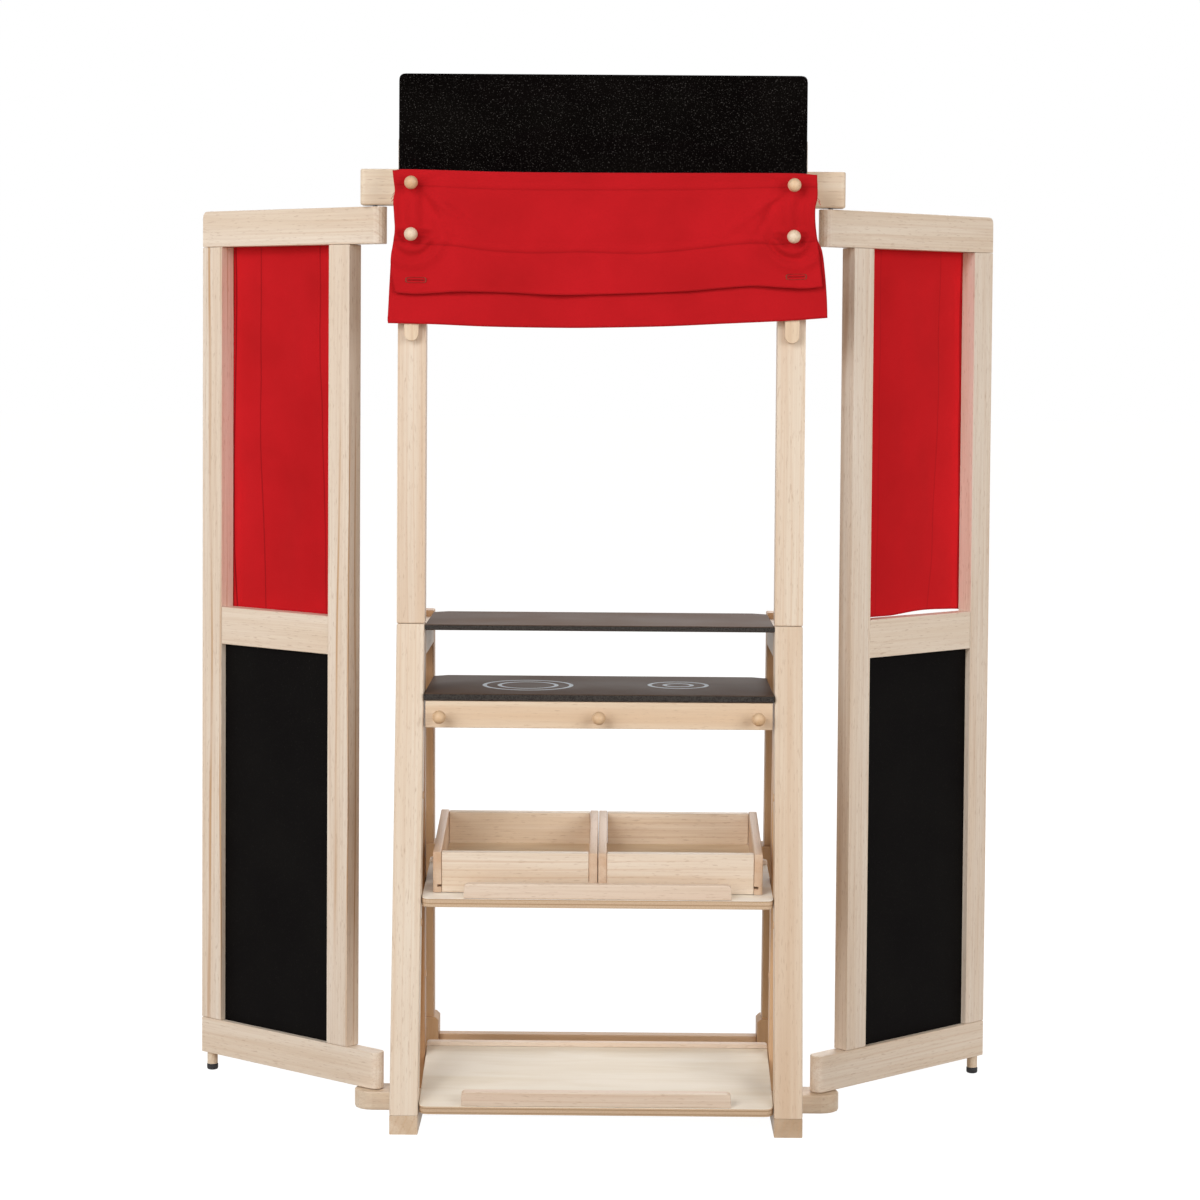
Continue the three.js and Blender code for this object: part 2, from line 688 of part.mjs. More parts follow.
// A hinged wing: a frame whose top and bottom rails run past the inner stile
// to the hinge pins, a chalkboard in grooves and a cloth panel behind
function wing(side, angle, hem, label) {
  const span = (from, to) => (side > 0 ? [from, to] : [-to, -from]);
  const railPlan = () => {
    const shape = new THREE.Shape();
    shape.moveTo(side * wingLength, -wingHalf);
    shape.lineTo(side * wingLength, wingHalf);
    shape.lineTo(-side * wingTail, wingHalf);
    shape.absarc(-side * wingTail, 0, wingHalf, Math.PI / 2, 3 * Math.PI / 2, side < 0);
    return shape;
  };
  const [railLeft, railRight] = span(-wingTail - wingHalf - overrun, wingLength);
  const topShape = side > 0
    ? outline([[railLeft, wingTop - wingRail], [railRight, wingTop - wingRail],
      [railRight, wingTop, wingCorner], [railLeft, wingTop]])
    : outline([[railLeft, wingTop - wingRail], [railRight, wingTop - wingRail],
      [railRight, wingTop], [railLeft, wingTop, wingCorner]]);
  const openingTop = midRailTop - wingMidRail;
  const openingBottom = wingBottom + wingRail;
  const [openLeft, openRight] = span(wingInnerStart + wingStile, wingLength - wingStile);
  const boardSolid = (grow, thickness) => new THREE.BoxGeometry(
    openRight - openLeft + 2 * grow, thickness, openingTop - openingBottom + 2 * grow)
    .translate((openLeft + openRight) / 2, 0, (openingBottom + openingTop) / 2);
  const groove = boardSolid(boardGroove + seat, boardThickness + 2 * seat);
  const footX = side * (wingLength - wingFootInset);
  const topRail = cut(
    common(flatBoard(railPlan(), wingTop - wingRail, wingRail, fineArris, 2),
      frontBoard(topShape, -wingThickness, 2 * wingThickness, 0)),
    uprightCylinder(pinBoreRadius, wingTop - pinDepth - pinBoreSpare, wingTop + overrun, 0, 0, pinSides));
  const bottomRail = cut(
    flatBoard(railPlan(), wingBottom, wingRail, fineArris, 2),
    uprightCylinder(pinBoreRadius, wingBottom - overrun, wingBottom + pinDepth + pinBoreSpare, 0, 0, pinSides),
    uprightCylinder(wingFootRadius + seat, wingBottom - overrun, wingBottom + wingFootDepth + seat, footX, 0, footSides),
    groove);
  const stile = (from, to) => {
    const [left, right] = span(from, to);
    return cut(
      flatBoard(rectangle(left, -wingHalf, right, wingHalf), openingBottom + seat,
        wingTop - wingRail - openingBottom - 2 * seat, fineArris, 2), groove);
  };
  const midRail = cut(
    frontBoard(rectangle(openLeft + seat, openingTop, openRight - seat, midRailTop),
      -wingHalf, wingThickness, fineArris, 2), groove);
  const tipEdge = wingFootRadius - (wingTipRadius - wingFootRadius);
  const foot = new THREE.LatheGeometry([
    new THREE.Vector2(0, 0),
    new THREE.Vector2(tipEdge, 0),
    new THREE.Vector2(wingTipRadius, wingTipRadius - tipEdge),
    new THREE.Vector2(wingTipRadius, wingTipHeight),
    new THREE.Vector2(wingFootRadius, wingTipHeight),
    new THREE.Vector2(wingFootRadius, wingBottom + wingFootDepth),
    new THREE.Vector2(0, wingBottom + wingFootDepth),
  ], footSides).rotateX(Math.PI / 2).translate(footX, 0, 0);
  const turning = new THREE.Group();
  turning.position.x = side * pinX;
  turning.rotation.z = side * angle;
  turning.add(
    node(`wing_top_rail_${label}`, topRail, 'beech'),
    node(`wing_middle_rail_${label}`, midRail, 'beech'),
    node(`wing_bottom_rail_${label}`, bottomRail, 'beech'),
    node(`wing_inner_stile_${label}`, stile(wingInnerStart, wingInnerStart + wingStile), 'beech'),
    node(`wing_outer_stile_${label}`, stile(wingLength - wingStile, wingLength), 'beech'),
    node(`wing_foot_${label}`, foot, 'rubber'),
    node(`chalkboard_${label}`, boardSolid(boardGroove, boardThickness), 'chalkboard'),
    node(`wing_curtain_${label}`, wingPanel(openLeft, openRight, hem), 'cotton'),
  );
  return turning;
}

// The cloth panel hangs flat from the top rail's rear face and waves towards its hem
function wingPanel(openLeft, openRight, hem) {
  const top = wingTop - wingRail + panelFixing;
  const bottom = midRailTop + hem;
  const levels = [];
  for (let i = 0; i <= panelRows; i += 1) {
    levels.push(i / panelRows);
  }
  const left = openLeft - panelOverlap;
  const width = openRight - openLeft + 2 * panelOverlap;
  const sheet = (depth) => (across, down) => [
    left + width * across,
    wingHalf + seat + panelFoldDepth * down * foldWave(across, panelFolds) + depth,
    THREE.MathUtils.lerp(top, bottom + panelHemWave * foldWave(across, panelFolds / 2), down),
  ];
  return clothShell(panelColumns, levels, sheet(0), sheet(panelThickness));
}

const stand = new THREE.Group();
const goods = displayShelf('upper', upperDisplayFront, upperDisplaySlope);
const boxStep = (boxWidth + boxGap) / 2;
const boxes = new THREE.Group();
boxes.position.set(0, boxLead, seat);
boxes.rotation.x = Math.atan((rearLipHeight + seat) / (displayBay - boxLead));
boxes.add(...storageBox('left', -boxStep), ...storageBox('right', boxStep));
goods.add(boxes);
stand.add(
  sideFrame(-1, 'left'),
  sideFrame(1, 'right'),
  hingeBars(),
  rearRails(),
  header(),
  node('valance', valance(), 'cotton'),
  shelves(),
  goods,
  displayShelf('lower', lowerDisplayFront, lowerDisplaySlope),
  wing(-1, leftWingAngle, leftPanelHem, 'left'),
  wing(1, rightWingAngle, rightPanelHem, 'right'),
);

export default stand;
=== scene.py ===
# Child's puppet theater stand: looks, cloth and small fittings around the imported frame.
import bpy
import bmesh
import math
import random
from mathutils import Matrix, Vector, noise


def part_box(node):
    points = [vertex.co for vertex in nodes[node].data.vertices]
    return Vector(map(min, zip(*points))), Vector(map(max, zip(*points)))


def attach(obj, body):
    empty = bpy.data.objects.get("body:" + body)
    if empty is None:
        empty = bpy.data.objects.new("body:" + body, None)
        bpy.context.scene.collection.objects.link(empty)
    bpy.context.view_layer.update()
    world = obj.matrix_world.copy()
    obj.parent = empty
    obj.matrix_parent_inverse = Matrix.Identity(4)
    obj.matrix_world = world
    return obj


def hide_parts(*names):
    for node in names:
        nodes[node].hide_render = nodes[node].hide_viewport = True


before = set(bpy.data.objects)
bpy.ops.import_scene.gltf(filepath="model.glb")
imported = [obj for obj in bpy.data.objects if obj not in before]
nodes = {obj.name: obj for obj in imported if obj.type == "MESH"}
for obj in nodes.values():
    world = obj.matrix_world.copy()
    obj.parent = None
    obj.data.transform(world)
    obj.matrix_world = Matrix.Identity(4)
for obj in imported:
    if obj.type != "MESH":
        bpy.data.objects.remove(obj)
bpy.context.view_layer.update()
print("frame loaded:", len(nodes), "nodes")
bpy.ops.object.select_all(action="DESELECT")


def linearColour(hexText):
    channels = [int(hexText[i:i + 2], 16) / 255 for i in (0, 2, 4)]
    return tuple(c / 12.92 if c <= 0.04045 else ((c + 0.055) / 1.055) ** 2.4 for c in channels) + (1.0,)


# Camera: a long lens at a standing child's eye height, turned and tipped a little
cameraView = {
    "place": (0.01691, -3.27034, 0.83439),
    "turnLeft": 0.00547,
    "tipDown": 0.04538,
    "roll": 0.0071,
    "framePixels": 1200,
    "focalPixels": 3025.8,
    "frameRise": 120.0,          # how far the optical axis lies above the frame's middle, in pixels
    "sensor": 36,
    "farthest": 60,
}


def makeCamera(view):
    turn, tip, roll = view["turnLeft"], view["tipDown"], view["roll"]
    acrossFlat = Vector((math.cos(turn), math.sin(turn), 0))
    forwardFlat = Vector((-math.sin(turn), math.cos(turn), 0))
    forward = math.cos(tip) * forwardFlat - math.sin(tip) * Vector((0, 0, 1))
    upFlat = math.sin(tip) * forwardFlat + math.cos(tip) * Vector((0, 0, 1))
    across = math.cos(roll) * acrossFlat + math.sin(roll) * upFlat
    up = -math.sin(roll) * acrossFlat + math.cos(roll) * upFlat
    lens = bpy.data.cameras.new("photoCamera")
    lens.sensor_width = view["sensor"]
    lens.sensor_fit = "HORIZONTAL"
    lens.lens = view["focalPixels"] / view["framePixels"] * view["sensor"]
    lens.shift_y = -view["frameRise"] / view["framePixels"]
    lens.clip_end = view["farthest"]
    camera = bpy.data.objects.new("photoCamera", lens)
    bpy.context.collection.objects.link(camera)
    turned = Matrix((across, up, -forward)).transposed().to_4x4()
    camera.matrix_world = Matrix.Translation(view["place"]) @ turned
    bpy.context.scene.camera = camera


makeCamera(cameraView)
bpy.context.scene.view_settings.view_transform = "Standard"
print("camera set")


# Adds a shader node and gives one of its outputs. A setting that is a socket is linked, one that
# names no input is a property of the node, and a colour is written as hex.
def addNode(tree, kind, settings, output=0):
    node = tree.nodes.new("ShaderNode" + kind)
    for key, value in settings.items():
        if isinstance(key, str) and key not in node.inputs.keys():
            setattr(node, key, value)
        elif isinstance(value, bpy.types.NodeSocket):
            tree.links.new(value, node.inputs[key])
        else:
            node.inputs[key].default_value = linearColour(value) if isinstance(value, str) else value
    return node.outputs[output] if node.outputs else None


# Lays one colour over another, where a pattern runs from its low to its high value
def laidOver(tree, under, over, pattern, low=0.0, high=1.0, share=1.0):
    amount = addNode(tree, "MapRange", {"From Min": low, "From Max": high, "To Max": share, "Value": pattern})
    return addNode(tree, "Mix", {"data_type": "RGBA", 0: amount, 6: under, 7: over}, 2)


# Floor, backdrop and light
studio = {
    "floorSize": 60,
    "floorSeen": "F4F4F4",       # as the camera sees the paper
    "floorBounce": "B09F8A",     # as it throws light back up
    "floorWhiteShare": 0.8,      # how much of the floor is plain white paper to the camera
    "floorWhite": 1.22,          # makes up for the shaded share, so that the lit floor comes to 1
    "lamps": {                   # power, size, place
        "keyLamp": (44, 1.3, (-1.6, -3.3, 2.8)),
        "rightLamp": (74, 2.4, (2.65, -2.9, 1.6)),
        "leftLamp": (70, 2.4, (-2.65, -2.9, 1.5)),
        "backLamp": (85, 2.6, (0.8, 3.6, 3.2)),
    },
    "lampAim": (0, 0, 0.55),
    "worldColour": "FFE9D2",
    "worldStrength": 0.18,
}


# 1 where the camera sees a surface, straight or through a mirror or glass, and 0 for other light
def seenAsPaper(tree):
    seen = addNode(tree, "LightPath", {}, "Is Camera Ray")
    for ray in ("Is Glossy Ray", "Is Transmission Ray"):
        other = addNode(tree, "LightPath", {}, ray)
        seen = addNode(tree, "Math", {"operation": "MAXIMUM", 0: seen, 1: other})
    return seen


def makeFloor():
    bpy.ops.mesh.primitive_plane_add(size=studio["floorSize"], location=(0, 0, 0))
    floor = bpy.context.object
    floor.name = "studioFloor"
    material = bpy.data.materials.new("studioPaper")
    material.use_nodes = True
    tree = material.node_tree
    tree.nodes.clear()
    seen = seenAsPaper(tree)
    colour = laidOver(tree, studio["floorBounce"], studio["floorSeen"], seen)
    paper = addNode(tree, "BsdfDiffuse", {"Color": colour})
    white = addNode(tree, "Emission", {"Color": "FFFFFF", "Strength": studio["floorWhite"]})
    share = addNode(tree, "Math", {"operation": "MULTIPLY", 0: seen, 1: studio["floorWhiteShare"]})
    surface = addNode(tree, "MixShader", {0: share, 1: paper, 2: white})
    addNode(tree, "OutputMaterial", {"Surface": surface})
    floor.data.materials.append(material)


def makeLight():
    world = bpy.data.worlds.new("studioWorld")
    bpy.context.scene.world = world
    world.use_nodes = True
    tree = world.node_tree
    tree.nodes.clear()
    light = addNode(tree, "Background", {"Color": studio["worldColour"], "Strength": studio["worldStrength"]})
    backdrop = addNode(tree, "Background", {"Color": "FFFFFF", "Strength": 1.0})
    surface = addNode(tree, "MixShader", {0: seenAsPaper(tree), 1: light, 2: backdrop})
    addNode(tree, "OutputWorld", {"Surface": surface})
    for name, (power, size, place) in studio["lamps"].items():
        lamp = bpy.data.lights.new(name, "AREA")
        lamp.energy = power
        lamp.size = size
        rig = bpy.data.objects.new(name, lamp)
        bpy.context.collection.objects.link(rig)
        rig.location = place
        aim = Vector(studio["lampAim"]) - Vector(place)
        rig.rotation_euler = aim.to_track_quat("-Z", "Y").to_euler()


makeFloor()
makeLight()
print("studio set")


# A new material with its own settings on the shader
def newMaterial(name, roughness, ior=1.5, mirror=0.5):
    material = bpy.data.materials.new(name)
    material.use_nodes = True
    tree = material.node_tree
    shader = tree.nodes["Principled BSDF"]
    shader.inputs["Roughness"].default_value = roughness
    shader.inputs["IOR"].default_value = ior
    shader.inputs["Specular IOR Level"].default_value = mirror
    return material, tree, shader


# Gives the shader its colour, and small bumps from a pattern's height
def dressSurface(tree, shader, colour, height=None, strength=0.0, depth=0.0):
    tree.links.new(colour, shader.inputs["Base Color"])
    if height is not None:
        bump = addNode(tree, "Bump", {"Strength": strength, "Distance": depth, "Height": height})
        tree.links.new(bump, shader.inputs["Normal"])


# Solid beech, planed and under a clear satin lacquer: pale pinkish cream with fine dark flecks along the
# grain, soft broader bands, short dark fibres, and patches where growth rings show. The real flecks are
# about 0.3 mm wide; they are drawn 1 to 2 mm wide so that they show.
beechLook = {
    "roughness": 0.48,
    "ringLine": "C79F76",
    "ringsPerMetre": (38, 38, 2.6),
    "ringPatches": (9, 9, 3.5),
    "bandsPerMetre": (46, 46, 1.5),
    "marks": [                   # colour, count per metre, detail, roughness, low, high, strength
        ("C9AB8E", (430, 430, 8), 3.0, 0.55, 0.42, 0.70, 0.30),
        ("A98463", (760, 760, 95), 2.0, 0.50, 0.60, 0.72, 0.36),
    ],
    "bump": (0.10, 0.0004),      # strength and depth
}


def beechMaterial(name, along, pale, warm, shift, rings=0.22):
    look = beechLook
    material, tree, shader = newMaterial("lacqueredBeech" + name, look["roughness"])
    turn = Vector(along).normalized().rotation_difference(Vector((0, 0, 1))).to_euler()
    board = addNode(tree, "TexCoord", {}, "Object")
    board = addNode(tree, "Mapping", {"Rotation": turn, "Location": (shift, 0.37 * shift, 0.21 * shift),
                                      "Vector": board})

    def grain(perMetre, detail, rough, distortion=0.0):
        sized = addNode(tree, "Mapping", {"Scale": perMetre, "Vector": board})
        return addNode(tree, "TexNoise", {"Scale": 1.0, "Detail": detail, "Roughness": rough,
                                          "Distortion": distortion, "Vector": sized})

    colour = laidOver(tree, pale, warm, grain(look["bandsPerMetre"], 2.0, 0.5, 0.4), 0.36, 0.64)
    sized = addNode(tree, "Mapping", {"Scale": look["ringsPerMetre"], "Vector": board})
    growth = addNode(tree, "TexWave", {"wave_type": "RINGS", "rings_direction": "Z", "Scale": 1.0,
                                       "Distortion": 5.0, "Detail": 2.0, "Detail Scale": 0.55,
                                       "Detail Roughness": 0.45, "Vector": sized}, "Fac")
    line = addNode(tree, "MapRange", {"From Min": 0.86, "From Max": 0.99, "Value": growth})
    patches = addNode(tree, "MapRange", {"From Min": 0.44, "From Max": 0.62, "To Max": rings,
                                         "Value": grain(look["ringPatches"], 1.0, 0.5)})
    shown = addNode(tree, "Math", {"operation": "MULTIPLY", 0: line, 1: patches})
    colour = laidOver(tree, colour, look["ringLine"], shown)
    heights = []
    for tint, perMetre, detail, rough, low, high, strength in look["marks"]:
        mark = addNode(tree, "MapRange", {"From Min": low, "From Max": high, "To Max": strength,
                                          "Value": grain(perMetre, detail, rough)})
        colour = laidOver(tree, colour, tint, mark)
        heights.append(mark)
    relief = addNode(tree, "Math", {"operation": "ADD", 0: heights[0], 1: heights[1]})
    dressSurface(tree, shader, colour, relief, *look["bump"])
    return material


# Birch plywood under cream lacquer: a quiet pale face with faint rotary-cut figure, and edges that show
# the plies as brown and pale lines. The real plies are about 1.5 mm thick; they are drawn 2.3 mm thick
# so that they show.
plywoodLook = {
    "edge": "D3BA9E",
    "plyLine": "A17F5C",
    "roughness": 0.5,
    "plyPitch": 0.0023,
    "speckleScale": 700.0,
    "bump": (0.06, 0.0003),
}


def plywoodMaterial(name, layered, grain, shift, paleFace, darkFace):
    look = plywoodLook
    material, tree, shader = newMaterial("lacqueredPlywood" + name, look["roughness"])
    layerDirection = Vector(layered).normalized()
    turn = layerDirection.rotation_difference(Vector((0, 0, 1))).to_euler()
    board = addNode(tree, "TexCoord", {}, "Object")
    board = addNode(tree, "Mapping", {"Rotation": turn, "Location": (shift, shift, 0), "Vector": board})
    sized = addNode(tree, "Mapping", {"Scale": grain, "Vector": board})
    figure = addNode(tree, "TexNoise", {"Scale": 1.0, "Detail": 4.0, "Roughness": 0.55, "Distortion": 0.6,
                                        "Vector": sized})
    face = laidOver(tree, paleFace, darkFace, figure, 0.38, 0.68)
    height = addNode(tree, "SeparateXYZ", {0: board}, "Z")
    ply = addNode(tree, "Math", {"operation": "DIVIDE", 0: height, 1: look["plyPitch"]})
    ply = addNode(tree, "Math", {"operation": "PINGPONG", 0: ply, 1: 1.0})
    edge = laidOver(tree, look["edge"], look["plyLine"], ply, 0.55, 0.95, 0.8)
    speckle = addNode(tree, "TexNoise", {"Scale": look["speckleScale"], "Detail": 2.0, "Vector": board})
    edge = laidOver(tree, edge, look["plyLine"], speckle, 0.45, 0.75, 0.35)
    normal = addNode(tree, "TexCoord", {}, "Normal")
    facing = addNode(tree, "VectorMath", {"operation": "DOT_PRODUCT", 0: normal, 1: layerDirection}, "Value")
    facing = addNode(tree, "Math", {"operation": "ABSOLUTE", 0: facing})
    colour = laidOver(tree, edge, face, facing, 0.55, 0.8)
    dressSurface(tree, shader, colour, figure, *look["bump"])
    return material


# How far a surface faces along one of the object's axes, from 0 to 1
def facingAlong(tree, axis):
    normal = addNode(tree, "TexCoord", {}, "Normal")
    part = addNode(tree, "SeparateXYZ", {0: normal}, axis)
    return addNode(tree, "Math", {"operation": "ABSOLUTE", 0: part})


# Laminate pressed on thin board: a smooth satin sheet. The real one is black and turns brown-grey where
# it mirrors the bright room at the photograph's low angle; that brown is its colour here, and it mirrors
# little. The printed burner rings are pale grey-blue.
laminateLook = {
    "sheet": "564133",
    "cloud": "604A3B",
    "edge": "4A4745",
    "edgeDark": "282625",
    "ring": "E2EAF2",
    "roughness": (0.42, 0.54),   # from satin to dull
    "mirror": 0.018,
    "bump": (0.05, 0.0002),
    "ringWidth": 0.0046,
    "ringBlur": 0.0002,
    "rings": [((-0.0784, 0.031), (0.0475, 0.0312)), ((0.0863, 0.041), (0.0315, 0.0150))],
    "ringHeight": 0.4584,        # the rings show on what lies above this
}


def burnerRings(tree, place, colour):
    look = laminateLook
    wide, narrow = look["ringWidth"] / 2 + look["ringBlur"], look["ringWidth"] / 2 - look["ringBlur"]
    height = addNode(tree, "SeparateXYZ", {0: place}, "Z")
    above = addNode(tree, "Math", {"operation": "GREATER_THAN", 0: height, 1: look["ringHeight"]})
    for (x, y), radii in look["rings"]:
        level = addNode(tree, "Mapping", {"Location": (-x, -y, 0), "Vector": place})
        level = addNode(tree, "VectorMath", {"operation": "MULTIPLY", 0: level, 1: (1, 1, 0)})
        distance = addNode(tree, "VectorMath", {"operation": "LENGTH", 0: level}, "Value")
        for radius in radii:
            off = addNode(tree, "Math", {"operation": "SUBTRACT", 0: distance, 1: radius})
            off = addNode(tree, "Math", {"operation": "ABSOLUTE", 0: off})
            ink = addNode(tree, "MapRange", {"From Min": wide, "From Max": narrow, "Value": off})
            shown = addNode(tree, "Math", {"operation": "MULTIPLY", 0: ink, 1: above})
            colour = laidOver(tree, colour, look["ring"], shown)
    return colour


def laminateMaterial(name, withRings):
    look = laminateLook
    satin, dull = look["roughness"]
    material, tree, shader = newMaterial("blackLaminate" + name, satin, 1.5, look["mirror"])
    place = addNode(tree, "TexCoord", {}, "Object")
    cloud = addNode(tree, "TexNoise", {"Scale": 9.0, "Detail": 3.0, "Vector": place})
    grit = addNode(tree, "TexNoise", {"Scale": 900.0, "Detail": 1.0, "Vector": place})
    sheet = laidOver(tree, look["sheet"], look["cloud"], cloud, 0.35, 0.7)
    edge = laidOver(tree, look["edge"], look["edgeDark"], grit, 0.4, 0.7)
    colour = laidOver(tree, edge, sheet, facingAlong(tree, "Z"), 0.6, 0.8)
    if withRings:
        colour = burnerRings(tree, place, colour)
    gloss = addNode(tree, "MapRange", {"From Min": 0.35, "From Max": 0.7, "To Min": satin, "To Max": dull,
                                       "Value": cloud})
    tree.links.new(gloss, shader.inputs["Roughness"])
    dressSurface(tree, shader, colour, grit, *look["bump"])
    return material


# Chalkboard coating rolled onto board: matt black with a fine grit that catches the light in tiny pale
# specks, and a painted highlight on the end faces of the header, where its rounded edges catch the light
chalkboardLook = {
    "coat": "050303",
    "cloud": "0B0908",
    "speck": "6A6765",
    # the pale colour of the painted highlight on the header's end faces
    "edge": "4A4B4E",
    "roughness": 0.7,
    "specksPerMetre": 700,
    "bump": (0.25, 0.0003),
    "boards": {                  # specks, how much it mirrors, how strong the painted highlight on its ends is
        "Header": (0.5, 0.008, 0.7),
        "Wing": (0.10, 0.05, 0.0),
    },
}


def chalkboardMaterial(name):
    look = chalkboardLook
    specks, mirror, endHighlight = look["boards"][name]
    material, tree, shader = newMaterial("chalkboardCoating" + name, look["roughness"], 1.5, mirror)
    place = addNode(tree, "TexCoord", {}, "Object")
    cloud = addNode(tree, "TexNoise", {"Scale": 14.0, "Detail": 4.0, "Vector": place})
    grit = addNode(tree, "TexNoise", {"Scale": look["specksPerMetre"], "Detail": 2.0, "Vector": place})
    colour = laidOver(tree, look["coat"], look["cloud"], cloud, 0.35, 0.7)
    colour = laidOver(tree, colour, look["speck"], grit, 0.60, 0.80, specks)
    # painted highlight: the faces that look along X, the header's ends, are laid over with the pale edge
    # colour
    colour = laidOver(tree, colour, look["edge"], facingAlong(tree, "X"), 0.75, 0.95, endHighlight)
    dressSurface(tree, shader, colour, grit, *look["bump"])
    return material


# Plain woven cotton dyed a strong red: matt, with a fine even weave, soft mottling, and thin lines of
# painted shade where a seam or a pressed crease sinks. The real threads are about 0.4 mm apart; they are
# drawn
# 1.4 mm apart so that they show.
cottonLook = {
    # the colour of the painted shade along seam and crease lines
    "seam": "7E0A11",
    "roughness": 0.92,
    "mirror": 0.12,
    "sheen": 0.03,
    "sheenRoughness": 0.45,
    "threadPitch": 0.0014,
    "threadHeight": 0.5,
    "seamHalf": 0.0007,
    "seamDepth": 2.0,
    "wanderReach": 0.025,        # the furthest that a seam may wander
    "bump": (0.3, 0.00035),
}


# The cloth's own map holds metres across it, and down it metres or, with a drop, a share of the drop.
# Without a drop the seams run across the cloth, and with one they run down it.
def cottonMaterial(name, red, deep, seams, drop=None):
    look = cottonLook
    material, tree, shader = newMaterial("wovenCotton" + name, look["roughness"], 1.45, look["mirror"])
    shader.inputs["Sheen Weight"].default_value = look["sheen"]
    shader.inputs["Sheen Roughness"].default_value = look["sheenRoughness"]
    unrolled = addNode(tree, "UVMap", {"uv_map": "clothPlace"})
    cloth = addNode(tree, "Mapping", {"Scale": (1, drop or 1, 1), "Vector": unrolled})
    offAxis, runAxis = ("X", "Y") if drop else ("Y", "X")
    threadTurns = 2 * math.pi / look["threadPitch"]

    def threads(axis):
        place = addNode(tree, "SeparateXYZ", {0: cloth}, axis)
        turns = addNode(tree, "Math", {"operation": "MULTIPLY", 0: place, 1: threadTurns})
        return addNode(tree, "Math", {"operation": "SINE", 0: turns})

    weave = addNode(tree, "Math", {"operation": "MULTIPLY", 0: threads("X"), 1: threads("Y")})
    mottle = addNode(tree, "TexNoise", {"Scale": 11.0, "Detail": 4.0, "Roughness": 0.5, "Vector": cloth})
    slub = addNode(tree, "TexNoise", {"Scale": 420.0, "Detail": 2.0, "Vector": cloth})
    colour = laidOver(tree, red, deep, mottle, 0.35, 0.7)
    colour = laidOver(tree, colour, deep, slub, 0.45, 0.72, 0.3)
    height = addNode(tree, "Math", {"operation": "MULTIPLY", 0: weave, 1: look["threadHeight"]})
    reach, half, sunk = look["wanderReach"], look["seamHalf"], -look["seamDepth"]
    for place, strength, wander in seams:
        run = addNode(tree, "SeparateXYZ", {0: unrolled}, runAxis)
        bend = addNode(tree, "FloatCurve", {"Value": run})
        curve = bend.node.mapping.curves[0]
        for spot, (share, offset) in zip(curve.points, (wander[0], wander[-1])):
            spot.location = (share, 0.5 + offset / (2 * reach))
        for share, offset in wander[1:-1]:
            curve.points.new(share, 0.5 + offset / (2 * reach))
        bend.node.mapping.update()
        seam = addNode(tree, "MapRange", {"To Min": place - reach, "To Max": place + reach, "Value": bend})
        spot = addNode(tree, "SeparateXYZ", {0: cloth}, offAxis)
        off = addNode(tree, "Math", {"operation": "SUBTRACT", 0: spot, 1: seam})
        off = addNode(tree, "Math", {"operation": "ABSOLUTE", 0: off})
        line = addNode(tree, "MapRange", {"From Min": 2 * half, "From Max": 0.3 * half, "To Max": strength,
                                          "Value": off})
        # painted shade along the seam line
        colour = laidOver(tree, colour, look["seam"], line)
        height = addNode(tree, "Math", {"operation": "MULTIPLY_ADD", 0: line, 1: sunk, 2: height})
    dressSurface(tree, shader, colour, height, *look["bump"])
    return material


# Drawn steel pin: plain bright metal with faint marks round it from drawing and turning
def steelMaterial():
    material, tree, shader = newMaterial("drawnSteel", 0.34)
    shader.inputs["Metallic"].default_value = 1.0
    place = addNode(tree, "TexCoord", {}, "Object")
    sized = addNode(tree, "Mapping", {"Scale": (60, 60, 2600), "Vector": place})
    marks = addNode(tree, "TexNoise", {"Scale": 1.0, "Detail": 2.0, "Vector": sized})
    rough = addNode(tree, "MapRange", {"To Min": 0.28, "To Max": 0.42, "Value": marks})
    tree.links.new(rough, shader.inputs["Roughness"])
    dressSurface(tree, shader, laidOver(tree, "8C8C90", "6B6B70", marks))
    return material


# Moulded rubber tip: matt black with a slightly dusty, pitted skin
def rubberMaterial():
    material, tree, shader = newMaterial("mouldedRubber", 0.8, 1.52)
    place = addNode(tree, "TexCoord", {}, "Object")
    dust = addNode(tree, "TexNoise", {"Scale": 160.0, "Detail": 4.0, "Vector": place})
    dressSurface(tree, shader, laidOver(tree, "19191B", "333336", dust, 0.4, 0.7), dust, 0.2, 0.0003)
    return material


# Twisted cotton sewing thread: matt, with a darker twist along it
def threadMaterial(name, light, dark):
    material, tree, shader = newMaterial("sewingThread" + name, 0.8, 1.45)
    place = addNode(tree, "TexCoord", {}, "Object")
    twist = addNode(tree, "TexNoise", {"Scale": 1300.0, "Detail": 2.0, "Vector": place})
    dressSurface(tree, shader, laidOver(tree, light, dark, twist, 0.4, 0.65))
    return material


# How the frame's tilted and turned pieces stand at rest
wingTurn = {"left": math.radians(-39.2), "right": math.radians(43.0)}
shelfTilt = {"upper": math.radians(5.7), "lower": math.radians(12.7)}
boxTilt = shelfTilt["upper"] + math.atan(5.3 / 120.3)        # the rear lip lifts a box 5.3 mm, 120.3 mm back
upright, across, depthwise = (0, 0, 1), (1, 0, 0), (0, 1, 0)
frontLegLine, innerLegLine, rearLegLine = (0, 80, 512), (0, -39, 512), (0, -37, 512)
boxSideLine = (0, math.cos(boxTilt), math.sin(boxTilt))
wingLine = {side: (math.cos(turn), math.sin(turn), 0) for side, turn in wingTurn.items()}


def tilted(angle):
    return (0, -math.sin(angle), math.cos(angle))


